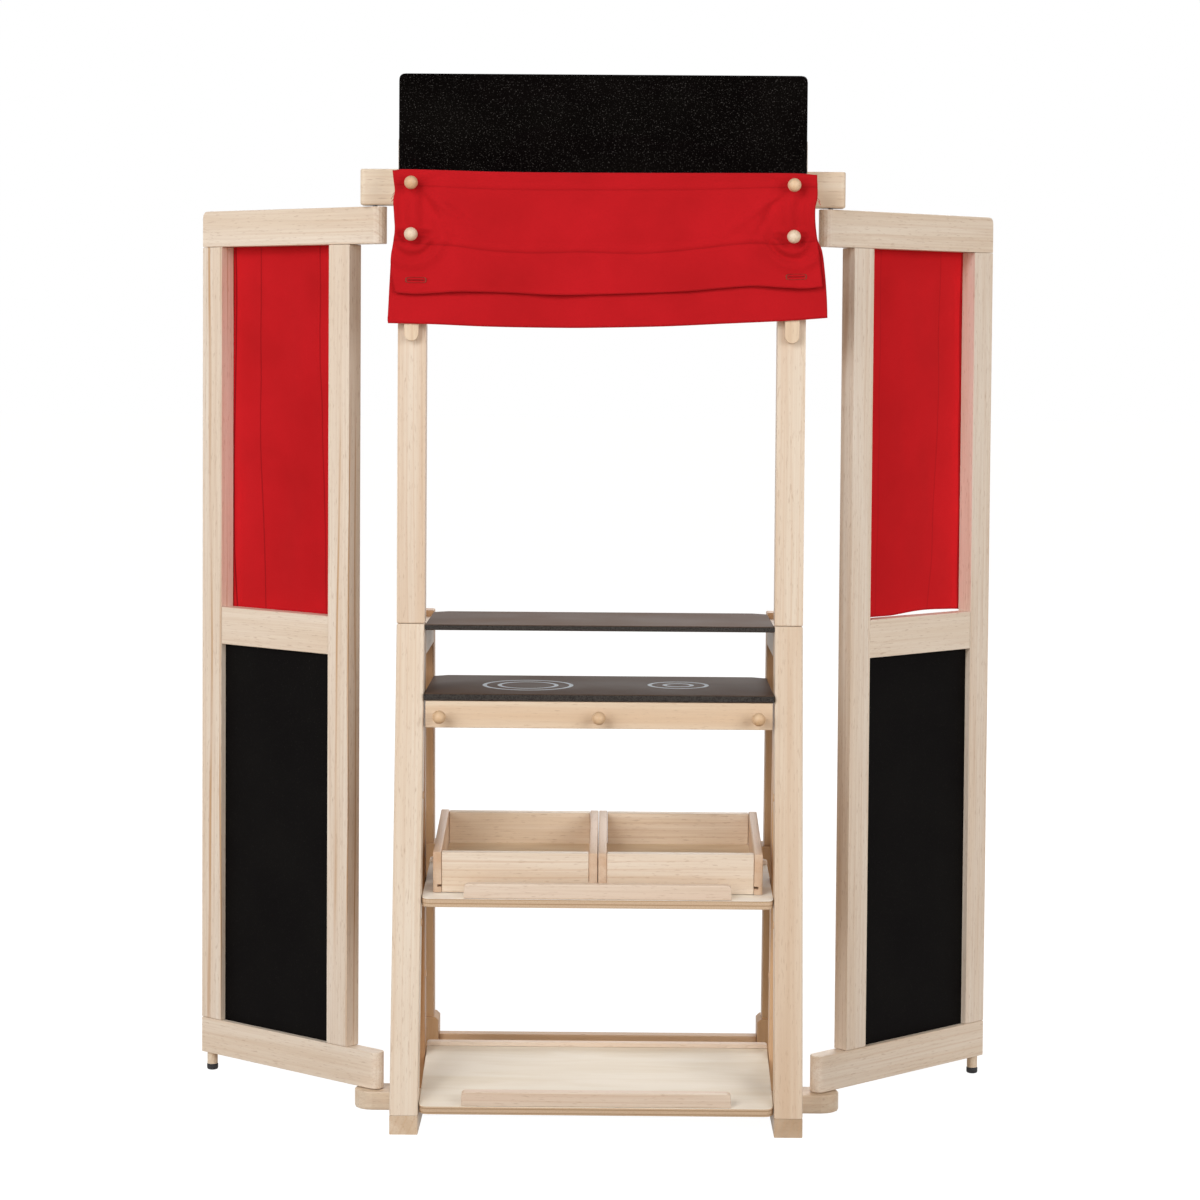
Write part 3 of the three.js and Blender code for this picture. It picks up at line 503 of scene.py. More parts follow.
# Each wood's grain direction, pale and warm colour, shift of the pattern and strength of growth rings
beechPieces = {
    "PostLeft": (upright, "E5D8C8", "DCC7B1", 0.0),
    "PostRight": (upright, "E6D9C8", "DCC7B1", 1.3),
    "FrontLegLeft": (frontLegLine, "E7DBCB", "DECBB5", 2.1),
    # painted shade: the right front leg is drawn a little darker than the left one
    "FrontLegRight": (frontLegLine, "DECDB9", "D1B89E", 3.7),
    # painted shade: the inner legs are the same beech, drawn darker and browner for the shade they stand in,
    # the left one most
    "InnerLegLeft": (innerLegLine, "A97B50", "93683F", 0.6),
    "InnerLegRight": (innerLegLine, "D8B48D", "C39A70", 1.6),
    # painted shade: the rear leg drawn darker and browner than the rest of the beech
    "RearLegPaintedShade": (rearLegLine, "C8A178", "B38A61", 0.9),
    "RunnerLeft": (depthwise, "E0CFBA", "D0B99E", 1.1),
    # painted shade: the right runner is drawn darker than the left one
    "RunnerRight": (depthwise, "C4AD94", "B49B80", 1.5),
    "HingeBar": (across, "EBDDC9", "E0CAB0", 0.4),
    # painted shade: the rear rails drawn darker and browner than the rest of the beech
    "Rail": (across, "D7B491", "C8A17A", 2.6),
    "PegRail": (across, "E8D7C1", "DDC3A6", 4.2),
    "Batten": (upright, "E4D2BA", "D8BD9F", 5.2),
    "Lip": (across, "ECDFD0", "E4CFBC", 6.3),
    "KnobTan": (depthwise, "E7C8A5", "D8B088", 7.7),
    "KnobPale": (depthwise, "EFDFC9", "E0C6A8", 9.9),
    # painted shade: the pegs drawn darker tan for the shadows they sit in
    "Peg": (depthwise, "E2C5A2", "D2AE86", 10.3),
    "Plug": (across, "D9B894", "C59D75", 11.1),
    "BoxFront": (across, "EADDCD", "E2D0BB", 8.4, 0.3),
    # painted light: the box's rear wall is the same beech as its front, drawn paler against the shade it
    # stands in
    "BoxRearPaintedLight": (across, "F0E1CF", "E7D3BA", 12.4, 0.3),
    "BoxSide": (boxSideLine, "DDC5AE", "CDAB8D", 9.1),
    "WingRailLeft": (wingLine["left"], "F2E6D7", "EADAC7", 0.8),
    "WingRailRight": (wingLine["right"], "F2E6D7", "EADAC7", 1.9),
    "WingStileLeft": (upright, "F1E6D9", "EBDBC9", 3.1, 0.95),
    "WingStileRight": (upright, "F1E6D9", "EBDBC9", 4.4, 0.35),
}
# Each plywood's direction across its layers, scale of figure, shift, and pale and dark face colour
plywoodPieces = {
    # painted light and shade: both shelves are one plywood; the upper face is drawn paler as painted light,
    # the lower darker as painted shade
    "UpperShelfPaintedLight": (tilted(shelfTilt["upper"]), (6, 60, 60), 0.0, "FBF8F0", "F6F0E4"),
    "LowerShelfPaintedShade": (tilted(shelfTilt["lower"]), (6, 60, 60), 0.7, "EAE2D4", "E0D5C2"),
    "BoxFloor": (tilted(boxTilt), (8, 70, 70), 1.9, "E4CFB2", "D6BB98"),
}
finishes = {name: beechMaterial(name, *look) for name, look in beechPieces.items()}
finishes |= {name: plywoodMaterial(name, *look) for name, look in plywoodPieces.items()}
finishes |= {name: chalkboardMaterial(name) for name in chalkboardLook["boards"]}
finishes |= {"Stage": laminateMaterial("Stage", False), "Kitchen": laminateMaterial("Kitchen", True),
             "Rubber": rubberMaterial(), "Steel": steelMaterial()}
print("materials made")


def paint(piece, material):
    piece.data.materials.clear()
    piece.data.materials.append(material)


# A node's finish, by how its name starts, or else by a word in it
def materialFor(name):
    side = "Left" if name.endswith("left") else "Right"
    starts = {
        "post_": "Post" + side, "front_leg": "FrontLeg" + side, "inner_leg": "InnerLeg" + side,
        "rear_leg": "RearLegPaintedShade", "side_": "Runner" + side, "peg_rail": "PegRail", "peg_": "Peg",
        "knob_batten": "Batten", "front_lip": "Lip", "rear_lip": "Lip", "upper_knob": "KnobTan",
        "lower_knob": "KnobPale", "box_floor": "BoxFloor", "box_": "BoxFront", "wing_foot": "Rubber",
        "chalkboard": "Wing", "header_board": "Header", "stage_shelf": "Stage", "kitchen_shelf": "Kitchen",
        "display_shelf_upper": "UpperShelfPaintedLight", "display_shelf_lower": "LowerShelfPaintedShade",
    }
    inside = {"hinge_bar": "HingeBar", "rear_rail": "Rail", "stile": "WingStile" + side,
              "rail": "WingRail" + side}
    found = [finish for start, finish in starts.items() if name.startswith(start)]
    found += [finish for word, finish in inside.items() if word in name]
    return finishes[(found + ["Steel"])[0]]


for name, node in nodes.items():
    paint(node, materialFor(name))
print("frame dressed")


def selectOnly(piece):
    bpy.ops.object.select_all(action="DESELECT")
    piece.select_set(True)
    bpy.context.view_layer.objects.active = piece


def rename(piece, name):
    piece.name = name
    piece.data.name = name


# A shaped piece becomes a finished one: its place goes into its mesh, and it is named and painted
def settle(piece, name, material, place=None, smooth=35):
    selectOnly(piece)
    bpy.ops.object.transform_apply(location=True, rotation=True, scale=True)
    bpy.ops.object.shade_smooth_by_angle(angle=math.radians(smooth))
    if place is not None:
        piece.data.transform(place)
    rename(piece, name)
    paint(piece, material)
    return piece


# What repeats is made once at the origin; each copy gets its own mesh, moved to its place
def copyTo(pattern, name, place, body, material=None):
    piece = pattern.copy()
    piece.data = pattern.data.copy()
    bpy.context.collection.objects.link(piece)
    rename(piece, name)
    piece.data.transform(place)
    if material is not None:
        paint(piece, material)
    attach(piece, body)
    return piece


# A turned piece: rings of (radius, height) up its own axis, in metres
def turnPiece(name, rings, sides, material, smooth=40):
    bpy.ops.object.select_all(action="DESELECT")
    radius, height = rings[0]
    bpy.ops.mesh.primitive_circle_add(vertices=sides, radius=radius, fill_type="NGON",
                                      location=(0, 0, height))
    piece = bpy.context.object
    bpy.ops.object.transform_apply(location=True)
    bpy.ops.object.mode_set(mode="EDIT")
    bpy.ops.mesh.select_all(action="SELECT")
    for nextRadius, nextHeight in rings[1:]:
        bpy.ops.mesh.extrude_region_move(TRANSFORM_OT_translate={"value": (0, 0, nextHeight - height)})
        scale = nextRadius / radius
        bpy.ops.transform.resize(value=(scale, scale, 1), center_override=(0, 0, nextHeight))
        radius, height = nextRadius, nextHeight
    bpy.ops.mesh.select_all(action="SELECT")
    bpy.ops.mesh.normals_make_consistent(inside=False)
    bpy.ops.object.mode_set(mode="OBJECT")
    return settle(piece, name, material, None, smooth)


# A planed board between two corners, with its edges rounded
def makeBoard(name, low, high, edge, segments=3):
    bpy.ops.object.select_all(action="DESELECT")
    middle = [(a + b) / 2 for a, b in zip(low, high)]
    bpy.ops.mesh.primitive_cube_add(size=1, location=middle)
    piece = bpy.context.object
    piece.name = name
    piece.scale = [b - a for a, b in zip(low, high)]
    bpy.ops.object.transform_apply(location=True, scale=True)
    if edge > 0:
        bpy.ops.object.mode_set(mode="EDIT")
        bpy.ops.mesh.select_all(action="SELECT")
        bpy.ops.mesh.bevel(offset=edge, segments=segments, affect="EDGES")
        bpy.ops.object.mode_set(mode="OBJECT")
    return piece


def cutWith(piece, cutter):
    selectOnly(piece)
    bpy.ops.object.modifier_add(type="BOOLEAN")
    modifier = piece.modifiers[-1]
    modifier.operation = "DIFFERENCE"
    modifier.solver = "EXACT"
    modifier.object = cutter
    bpy.ops.object.modifier_apply(modifier=modifier.name)
    bpy.data.objects.remove(cutter)
    return piece


def middleOf(name):
    low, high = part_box(name)
    return (Vector(low) + Vector(high)) / 2


# Ball knobs: the four that hold the valance and the three pegs, turned from one profile
knob = {
    "ball": 0.0072,
    "shank": 0.0034,
    "neck": 0.008,
    "collar": (1.02, 0.0006),    # how much wider the neck's end is than the shank, and how long
    "inWood": 0.004,
    "tip": (0.0004, 0.9995),     # radius of the flat at the ball's front, and its place in ball radii
    "sides": 40,
    "rings": 14,
    "headerFace": -0.0503,
    "pegFace": -0.0540,
    "names": ("upper_knob_left", "upper_knob_right", "lower_knob_left", "lower_knob_right",
              "peg_left", "peg_middle", "peg_right"),
}


def turnKnob():
    ball, shank, neck = knob["ball"], knob["shank"], knob["neck"]
    wider, collar = knob["collar"]
    flat, front = knob["tip"]
    start = math.asin(shank / ball)
    centre = neck + ball * math.cos(start)
    rings = [(shank, -knob["inWood"]), (shank, neck - collar), (shank * wider, neck)]
    for i in range(1, knob["rings"]):
        turn = start + (math.pi - start) * i / knob["rings"]
        rings.append((ball * math.sin(turn), centre - ball * math.cos(turn)))
    rings.append((flat, centre + ball * front))
    return turnPiece("knobPattern", rings, knob["sides"], finishes["KnobPale"], 60)


knobPattern = turnKnob()
for name in knob["names"]:
    spot = middleOf(name)
    face = knob["pegFace" if name.startswith("peg") else "headerFace"]
    place = Matrix.Translation((spot.x, face, spot.z)) @ Matrix.Rotation(math.radians(90), 4, "X")
    turned = copyTo(knobPattern, name + "_turned", place, "root", materialFor(name))
    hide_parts(name)
bpy.data.objects.remove(knobPattern)
print("knobs turned")


# Wing feet: a beech dowel in the bottom rail with a rubber tip pressed over its end
wingFoot = {"dowel": 0.0059, "tip": 0.0064, "tipHeight": 0.0072, "top": 0.0335, "sides": 32}
dowel, tip, high = wingFoot["dowel"], wingFoot["tip"], wingFoot["tipHeight"]
dowelRings = [(dowel - 0.0008, 0.0035), (dowel, 0.0043), (dowel, wingFoot["top"])]
tipRings = [(tip - 0.0022, 0.0002), (tip - 0.0006, 0.0008), (tip, 0.0022), (tip, high - 0.0009),
            (tip - 0.0004, high - 0.0002), (dowel + 0.00005, high)]
dowelPattern = turnPiece("dowelPattern", dowelRings, wingFoot["sides"], finishes["KnobPale"])
tipPattern = turnPiece("tipPattern", tipRings, wingFoot["sides"], finishes["Rubber"])
for side in ("left", "right"):
    spot = middleOf("wing_foot_" + side)
    place = Matrix.Translation((spot.x, spot.y, 0))
    copyTo(dowelPattern, "foot_dowel_" + side, place, "wing_" + side)
    rubberTip = copyTo(tipPattern, "foot_tip_" + side, place, "wing_" + side)
    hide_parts("wing_foot_" + side)
bpy.data.objects.remove(dowelPattern)
bpy.data.objects.remove(tipPattern)
print("wing feet turned")


# Screw plugs on the inner faces of the legs, a little proud of the wood
plug = {
    "radius": 0.0042,
    "rise": 0.0011,
    "inWood": 0.001,
    "crown": [(1, 0.2), (0.93, 0.62), (0.7, 0.9), (0.1, 1)],      # shares of the radius and the rise
    "sides": 24,
    "inner": 0.1875,
    "places": [("front", -0.0565, 0.350), ("low", -0.0772, 0.217), ("inner", 0.0012, 0.146)],
}
plugRings = [(plug["radius"], -plug["inWood"])]
plugRings += [(out * plug["radius"], up * plug["rise"]) for out, up in plug["crown"]]
plugPattern = turnPiece("plugPattern", plugRings, plug["sides"], finishes["Plug"])
for label, y, z in plug["places"]:
    for side, sign in (("left", -1), ("right", 1)):
        turn = Matrix.Rotation(math.radians(-90 * sign), 4, "Y")
        place = Matrix.Translation((sign * plug["inner"], y, z)) @ turn
        copyTo(plugPattern, "screw_plug_" + label + "_" + side, place, "root")
bpy.data.objects.remove(plugPattern)
print("screw plugs set")


# Storage boxes: four planed boards each, the front and rear walls between the side walls, with the
# floor's groove showing at the front ends of the side walls
storageBox = {
    "origin": (0, -0.06346, 0.24645),
    "width": 0.1754,
    "gap": 0.0008,
    "depth": 0.156,
    "height": 0.045,
    "wall": 0.009,
    "edge": 0.0011,
    "play": 0.0003,              # at each end of the front and rear walls, and above and below the floor
    "rise": 0.0002,              # how far the front and rear walls stand up from the shelf
    "frontSink": 0.0006,         # how far the front wall stands back and down from the side walls
    "floorLow": 0.0064,
    "floorHigh": 0.0090,
    "floorSkin": 0.0001,         # how much thinner the floor is drawn, on each face
    "floorTuck": (0.0042, 0.004),        # how far it goes into the side walls, and the front and rear ones
    "floorEdge": 0.0003,
    "groove": 0.0045,
}


def makeBoxBoards():
    size = storageBox
    half, wall, depth, height = size["width"] / 2, size["wall"], size["depth"], size["height"]
    groove, play, sink, edge = size["groove"], size["play"], size["frontSink"], size["edge"]
    low, high, skin = size["floorLow"], size["floorHigh"], size["floorSkin"]
    sideTuck, endTuck = size["floorTuck"]
    inside = half - wall
    boards = {}
    for part, left in (("side_wall_left", -half), ("side_wall_right", inside)):
        side = makeBoard(part, (left, 0, 0), (left + wall, depth, height), edge)
        inward = -inside if left < 0 else inside
        cutter = makeBoard("groove", (inward - groove, -wall, low - play),
                           (inward + groove, depth + wall, high + play), 0)
        boards[part] = settle(cutWith(side, cutter), part, finishes["BoxSide"])
    # the rear wall takes the paler copy of the box beech, which is painted light
    for part, near, finish in (("front_wall", sink, "BoxFront"), ("rear_wall", depth - wall, "BoxRearPaintedLight")):
        board = makeBoard(part, (-inside + play, near, size["rise"]),
                          (inside - play, near + wall - sink, height - sink), edge)
        boards[part] = settle(board, part, finishes[finish])
    floor = makeBoard("floor_panel", (-inside - sideTuck, wall - endTuck, low + skin),
                      (inside + sideTuck, depth - wall + endTuck, high - skin), size["floorEdge"], 1)
    boards["floor_panel"] = settle(floor, "floor_panel", finishes["BoxFloor"])
    return boards


boxBoards = makeBoxBoards()
for side, sign in (("left", -1), ("right", 1)):
    middle = sign * (storageBox["width"] + storageBox["gap"]) / 2
    place = (Matrix.Translation(storageBox["origin"]) @ Matrix.Rotation(boxTilt, 4, "X")
             @ Matrix.Translation((middle, 0, 0)))
    for part, pattern in boxBoards.items():
        board = copyTo(pattern, "box_" + side + "_" + part, place, "box_" + side)
        if part == "floor_panel":
            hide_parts("box_floor_" + side)
        elif part == "front_wall":
            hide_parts("box_" + side)
for pattern in boxBoards.values():
    bpy.data.objects.remove(pattern)
print("storage boxes joined")


# A smooth line through points of (place, height), read at one place
def lineHeight(points, x):
    if x <= points[0][0]:
        return points[0][1]
    for i in range(len(points) - 1):
        (x0, y0), (x1, y1) = points[i], points[i + 1]
        if x <= x1:
            before = points[max(i - 1, 0)]
            after = points[min(i + 2, len(points) - 1)]
            t = (x - x0) / (x1 - x0)
            slope0 = (y1 - before[1]) / (x1 - before[0]) * (x1 - x0)
            slope1 = (after[1] - y0) / (after[0] - x0) * (x1 - x0)
            return ((2 * t ** 3 - 3 * t ** 2 + 1) * y0 + (t ** 3 - 2 * t ** 2 + t) * slope0
                    + (-2 * t ** 3 + 3 * t ** 2) * y1 + (t ** 3 - t ** 2) * slope1)
    return points[-1][1]


# A cloth from a grid of points. point(across, down) gives a place and its spot on the unrolled cloth,
# and keep(middle) says which faces stay.
def clothSheet(name, columns, rows, point, thickness, material, keep=None):
    mesh = bmesh.new()
    layer = mesh.loops.layers.uv.new("clothPlace")
    grid, flat = [], []
    for j in range(rows + 1):
        line = []
        for i in range(columns + 1):
            spot, place = point(i / columns, j / rows)
            line.append(mesh.verts.new(spot))
            flat.append(place)
        grid.append(line)
    for j in range(rows):
        for i in range(columns):
            corners = [(j, i), (j, i + 1), (j + 1, i + 1), (j + 1, i)]
            middle = sum((grid[a][b].co for a, b in corners), Vector()) / 4
            if keep is not None and not keep(middle):
                continue
            face = mesh.faces.new([grid[a][b] for a, b in corners])
            for loop, (a, b) in zip(face.loops, corners):
                loop[layer].uv = flat[a * (columns + 1) + b]
    for vertex in [v for v in mesh.verts if not v.link_faces]:
        mesh.verts.remove(vertex)
    data = bpy.data.meshes.new(name)
    mesh.to_mesh(data)
    mesh.free()
    piece = bpy.data.objects.new(name, data)
    bpy.context.collection.objects.link(piece)
    data.materials.append(material)
    for polygon in data.polygons:
        polygon.use_smooth = True
    wall = piece.modifiers.new("clothThickness", "SOLIDIFY")
    wall.thickness = thickness
    wall.offset = 0
    return piece


# The valance: one cloth folded over at its top, hung on four knobs. Lines are in millimetres, as
# (place across, height) or (height, place across), read at the cloth's own plane.
leftUpper = [(927, -223.8), (951, -220.3), (968, -221), (985, -221.9), (993, -220.4), (1004, -221.6),
             (1017, -223)]
valance = {
    "top": [(-223, 1014.9), (-212, 1016.3), (-110, 1014.2), (0, 1013.9), (190, 1014.8), (215, 1014.4),
            (227, 1013.2)],
    "seamOne": [(-222, 1000.3), (-190, 998.9), (-110, 996), (0, 996), (104, 997.2), (184, 999.8),
                (226, 1000.6)],
    "seamTwo": [(-221, 941.4), (-190, 937.6), (-162, 936.2), (-122, 931.3), (-84, 929), (-55, 929.1),
                (-20, 930.3), (35, 929), (70, 931.2), (108, 935.3), (140, 939.3), (165, 940.9), (190, 939.7),
                (227, 943.5)],
    "hem": [(-219, 885.4), (-203, 884.3), (-180, 885.6), (-160, 887), (-135, 887), (-100, 886.2),
            (-70, 884.8), (-40, 884.4), (-10, 885.2), (30, 886.7), (62, 887.9), (94, 889.9), (126, 893),
            (158, 895.2), (190, 893.6), (214, 893.2), (234, 896)],
    "bottom": [(-226, 853.4), (-180, 852.6), (-120, 850.4), (-40, 849.6), (0, 850.2), (62, 852), (126, 855.4),
               (190, 858.9), (240, 863)],
    "leftRear": [(850, -226.5), (857, -227.8), (863, -227.4), (900, -225.6)] + leftUpper,
    "leftFront": [(882, -218.6), (888, -219.8), (900, -222.6), (915, -224.4)] + leftUpper,
    "rightFront": [(884, 234.3), (891, 234.1), (924, 230.7), (950, 226.5), (978, 225.4), (990, 227.6),
                   (1012, 227)],
    "rightRear": [(850, 239.9), (879, 239), (911, 236.4), (934, 233), (946, 228), (978, 225.2),
                  (1012, 226.8)],
    "headerFace": -50.3,
    "left": -224,                # about where it starts, and how wide it is
    "width": 454,
    "mapLeft": -230,             # where the unrolled cloth's own map starts
    "mapLow": 850,
    "drops": (164, 3, 131),      # of the rear layer, over the fold, and of the front layer
    "seamShares": (0.14, 0.66),  # how far down the front layer its two seams run
    # how dark the painted shade along the two seams is
    "seamStrengths": (0.22, 0.28),
    "rearAir": 0.9,
    "rearSlack": (0.3, 0.6),     # how much of the relief the rear layer takes, and how far it hangs off
    "layerGap": 3.2,
    "lean": 2.4,                 # how far the front layer stands off at its hem
    "deepest": -2.3,             # how far a crease may go back between the layers
    "stiffTop": 0.1,             # share of the front layer over which its relief grows
    "foldRise": 1.0,
    "columns": 190,
    "rows": (52, 4, 54),         # of the rear layer, the fold and the front layer
    "thickness": 0.8,
    "knobOut": 202.5,
    "knobHeights": (1002.0, 947.7),
    "eyelet": 4.3,
}
knobPlaces = [(side * valance["knobOut"], height) for height in valance["knobHeights"] for side in (-1, 1)]

# The valance's folds: how far each stands out, where it lies and how wide it is, in millimetres
valanceFolds = {
    "underKnob": (-1.6, 8),
    "besideLowKnob": [(-6.0, 11.5, 4.5, 0.2, 2.4), (2.6, 13, 5, 6.0, 3)],    # out and width, up and width
    # sagging folds under a lower knob: rise, distance, width, and how much stronger outward than inward
    "belowLowKnob": [(3.4, 16.5, 3.6, 0), (-3.2, 24, 3.4, 0), (2.4, 32, 4.6, 0.4), (-1.2, 42, 6, 0)],
    "belowStarts": (-2, 8),
    # drag lines inward from an upper knob: rise, slope, offset, width, where they grow and where they fade
    "dragLines": [(-2.2, -0.35, 2, 2.6, "inward", (4, 12, 26, 60)),
                  (2.4, 0.75, 0, 5.5, "away", (8, 18, 42, 110)),
                  (-2.4, 1.4, 0, 6, "away", (8, 18, 36, 90))],
    # upright bands beside the knobs: rise, place outward of them and width
    "bands": [(2.6, -1, 8), (-3.8, -15, 9), (2.4, -34, 15), (-2.4, 12, 6), (1.2, 20, 5)],
    "bandsRun": (922, 962, 976, 1006),       # heights at which they start, are full, fade and end
    "bandSway": (3.0, 40, 5.5, 30),          # rise, how far apart the two sides are read, seed and size
    # small tucks along the seams: rise, place above the seam and width
    "tucks": [("seamTwo", 1.0, 3.4, 2.6), ("seamTwo", -0.9, -0.8, 1.8), ("seamOne", 0.6, 3, 2.4),
              ("seamOne", -0.6, -0.6, 1.7)],
    "waves": [(1.5, 3.6, 66, 3.1, 7.9), (0.9, 1.2, 24, 11.3, 15.7)],     # least, growth, size, two seeds
    "wavesGrow": (1016, 165),    # from this height down, over this drop
    "swell": (0.7, 31, 0.02),    # rise, length and slant of a slow wave
}


# Soft waves that are taller than they are wide
def ripple(x, z, seed, size, tall=1.6):
    return noise.noise(Vector((x / size, z / (tall * size), seed)))


def bell(value, width):
    return math.exp(-(value / width) ** 2)


def rampUp(value, low, high):
    share = min(max((value - low) / (high - low), 0.0), 1.0)
    return share * share * (3 - 2 * share)


# Up from low to full, and down again from fade to gone
def between(value, low, full, fade, gone):
    return rampUp(value, low, full) * (1 - rampUp(value, fade, gone))


def softFloor(value, floor, sharpness=1.6):
    return floor + math.log(1 + math.exp(sharpness * (value - floor))) / sharpness


# How far the folds round one knob stand out at a point dx and dz from it
def knobFolds(dx, dz, outward, isLow):
    folds = valanceFolds
    away = math.hypot(dx, dz)
    rise, width = folds["underKnob"]
    total = rise * bell(away, width)
    if isLow:
        for rise, out, wide, up, high in folds["besideLowKnob"]:
            total += rise * bell(abs(dx) - out, wide) * bell(dz - up, high)
        below = rampUp(-dz, *folds["belowStarts"])
        for rise, place, width, lean in folds["belowLowKnob"]:
            total += rise * bell(away - place, width) * below * (1 - lean + lean * outward / max(away, 1))
    else:
        distance = {"inward": -outward, "away": away}
        for rise, slope, offset, width, way, reach in folds["dragLines"]:
            total += rise * bell(dz - slope * outward + offset, width) * between(distance[way], *reach)
    return total


# How far the valance stands out at a point of its own plane
def valanceRelief(x, z, front):
    folds = valanceFolds
    upper = valance["knobHeights"][0]
    rise = 0.0
    for knobX, knobZ in knobPlaces:
        outward = x - knobX if knobX > 0 else knobX - x
        rise += knobFolds(x - knobX, z - knobZ, outward, knobZ < upper)
    sway, apart, seed, size = folds["bandSway"]
    down = between(z, *folds["bandsRun"])
    for side in (-1, 1):
        out = side * x - valance["knobOut"] + sway * ripple(apart * side, z, seed, size)
        rise += down * sum(high * bell(out - place, width) for high, place, width in folds["bands"])
    start, drop = folds["wavesGrow"]
    share = rampUp(start - z, 0, drop)
    for least, more, size, frontSeed, rearSeed in folds["waves"]:
        rise += (least + more * share) * ripple(x, z, frontSeed if front else rearSeed, size)
    swell, length, slant = folds["swell"]
    return rise + swell * math.sin(x / length + slant * z) * share


# A point of the valance: up the rear layer, over the fold and down the front layer
def valancePoint(acrossShare, alongShare):
    size = valance
    rearRows, foldRows, frontRows = size["rows"]
    rearDrop, foldDrop, frontDrop = size["drops"]
    row = alongShare * sum(size["rows"])
    guess = size["left"] + size["width"] * acrossShare
    top = lineHeight(size["top"], guess)
    foldStart = top - size["foldRise"]
    if row <= rearRows:
        share = row / rearRows
        bottom = lineHeight(size["bottom"], guess)
        z = bottom + (foldStart - bottom) * share
        left, right = lineHeight(size["leftRear"], z), lineHeight(size["rightRear"], z)
        taken, hangs = size["rearSlack"]
        slack = (taken * valanceRelief(guess, z, False) + hangs) * (1 - share)
        depth = size["rearAir"] + softFloor(slack, 0.0)
        place = z - size["mapLow"]
    elif row < rearRows + foldRows:
        share = (row - rearRows) / foldRows
        z = foldStart + size["foldRise"] * math.sin(math.pi * share)
        left, right = lineHeight(size["leftFront"], z), lineHeight(size["rightFront"], z)
        depth = size["rearAir"] + size["layerGap"] * (1 - math.cos(math.pi * share)) / 2
        place = rearDrop + foldDrop * share
    else:
        share = (row - rearRows - foldRows) / frontRows
        seams = {name: lineHeight(size[name], guess) for name in ("seamOne", "seamTwo")}
        hem = lineHeight(size["hem"], guess)
        stops = [(0, foldStart), *zip(size["seamShares"], seams.values()), (1, hem)]
        for (s0, z0), (s1, z1) in zip(stops, stops[1:]):
            if share <= s1:
                z = z0 + (z1 - z0) * (share - s0) / (s1 - s0)
                break
        left, right = lineHeight(size["leftFront"], z), lineHeight(size["rightFront"], z)
        relief = valanceRelief(guess, z, True)
        for seam, rise, up, width in valanceFolds["tucks"]:
            relief += rise * bell(z - seams[seam] - up, width)
        fullness = min(1, share / size["stiffTop"])
        standOff = softFloor(relief, size["deepest"]) + size["lean"] * share
        depth = size["rearAir"] + size["layerGap"] + fullness * standOff
        place = rearDrop + foldDrop + frontDrop * share
    x = left + (right - left) * acrossShare
    spot = Vector((x, size["headerFace"] - depth, z)) / 1000
    return spot, ((x - size["mapLeft"]) / 1000, place / 1000)


def clearOfKnobs(middle):
    return all(math.hypot(middle.x * 1000 - knobX, middle.z * 1000 - knobZ) > valance["eyelet"]
               for knobX, knobZ in knobPlaces)


rearDrop, foldDrop, frontDrop = valance["drops"]
valanceSeams = [((rearDrop + foldDrop + frontDrop * share) / 1000, strength, [(0, 0), (1, 0)])
                for share, strength in zip(valance["seamShares"], valance["seamStrengths"])]
valanceCotton = cottonMaterial("Valance", "C21A22", "B3171D", valanceSeams)
valanceCloth = clothSheet("valance_cloth", valance["columns"], sum(valance["rows"]), valancePoint,
                          valance["thickness"] / 1000, valanceCotton, clearOfKnobs)
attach(valanceCloth, "root")
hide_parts("valance")
print("valance hung")


# Buttonholes near the valance's lower corners: a worked edge of thread round a short slit, with a dark ring
# in the slit as its painted shade
buttonhole = {
    "places": {"left": (-197.4, 899.3, 0.0), "right": (205.8, 905.4, -1.5)},     # across, height, turn
    "half": 10.6,
    "high": 2.9,
    "squareness": 5,             # 2 is an ellipse, more is squarer
    "parts": {                   # share of its length and height, thread radius and flatness, material
        "edge": (1.0, 1.0, 0.75, 0.7, threadMaterial("RedBrown", "93402A", "701216")),
        # painted shade: the dark ring in the slit stands for the shade inside the cut
        "slit": (0.72, 0.16, 1.1, 0.5, threadMaterial("Dark", "3E0709", "220304")),
    },
    "down": 0.88,                # how far down the front layer they sit, as a share of its drop
    "proud": 0.8,
}


def frontDepth(x, z):
    relief = softFloor(valanceRelief(x, z, True), valance["deepest"])
    return valance["rearAir"] + valance["layerGap"] + relief + valance["lean"] * buttonhole["down"]


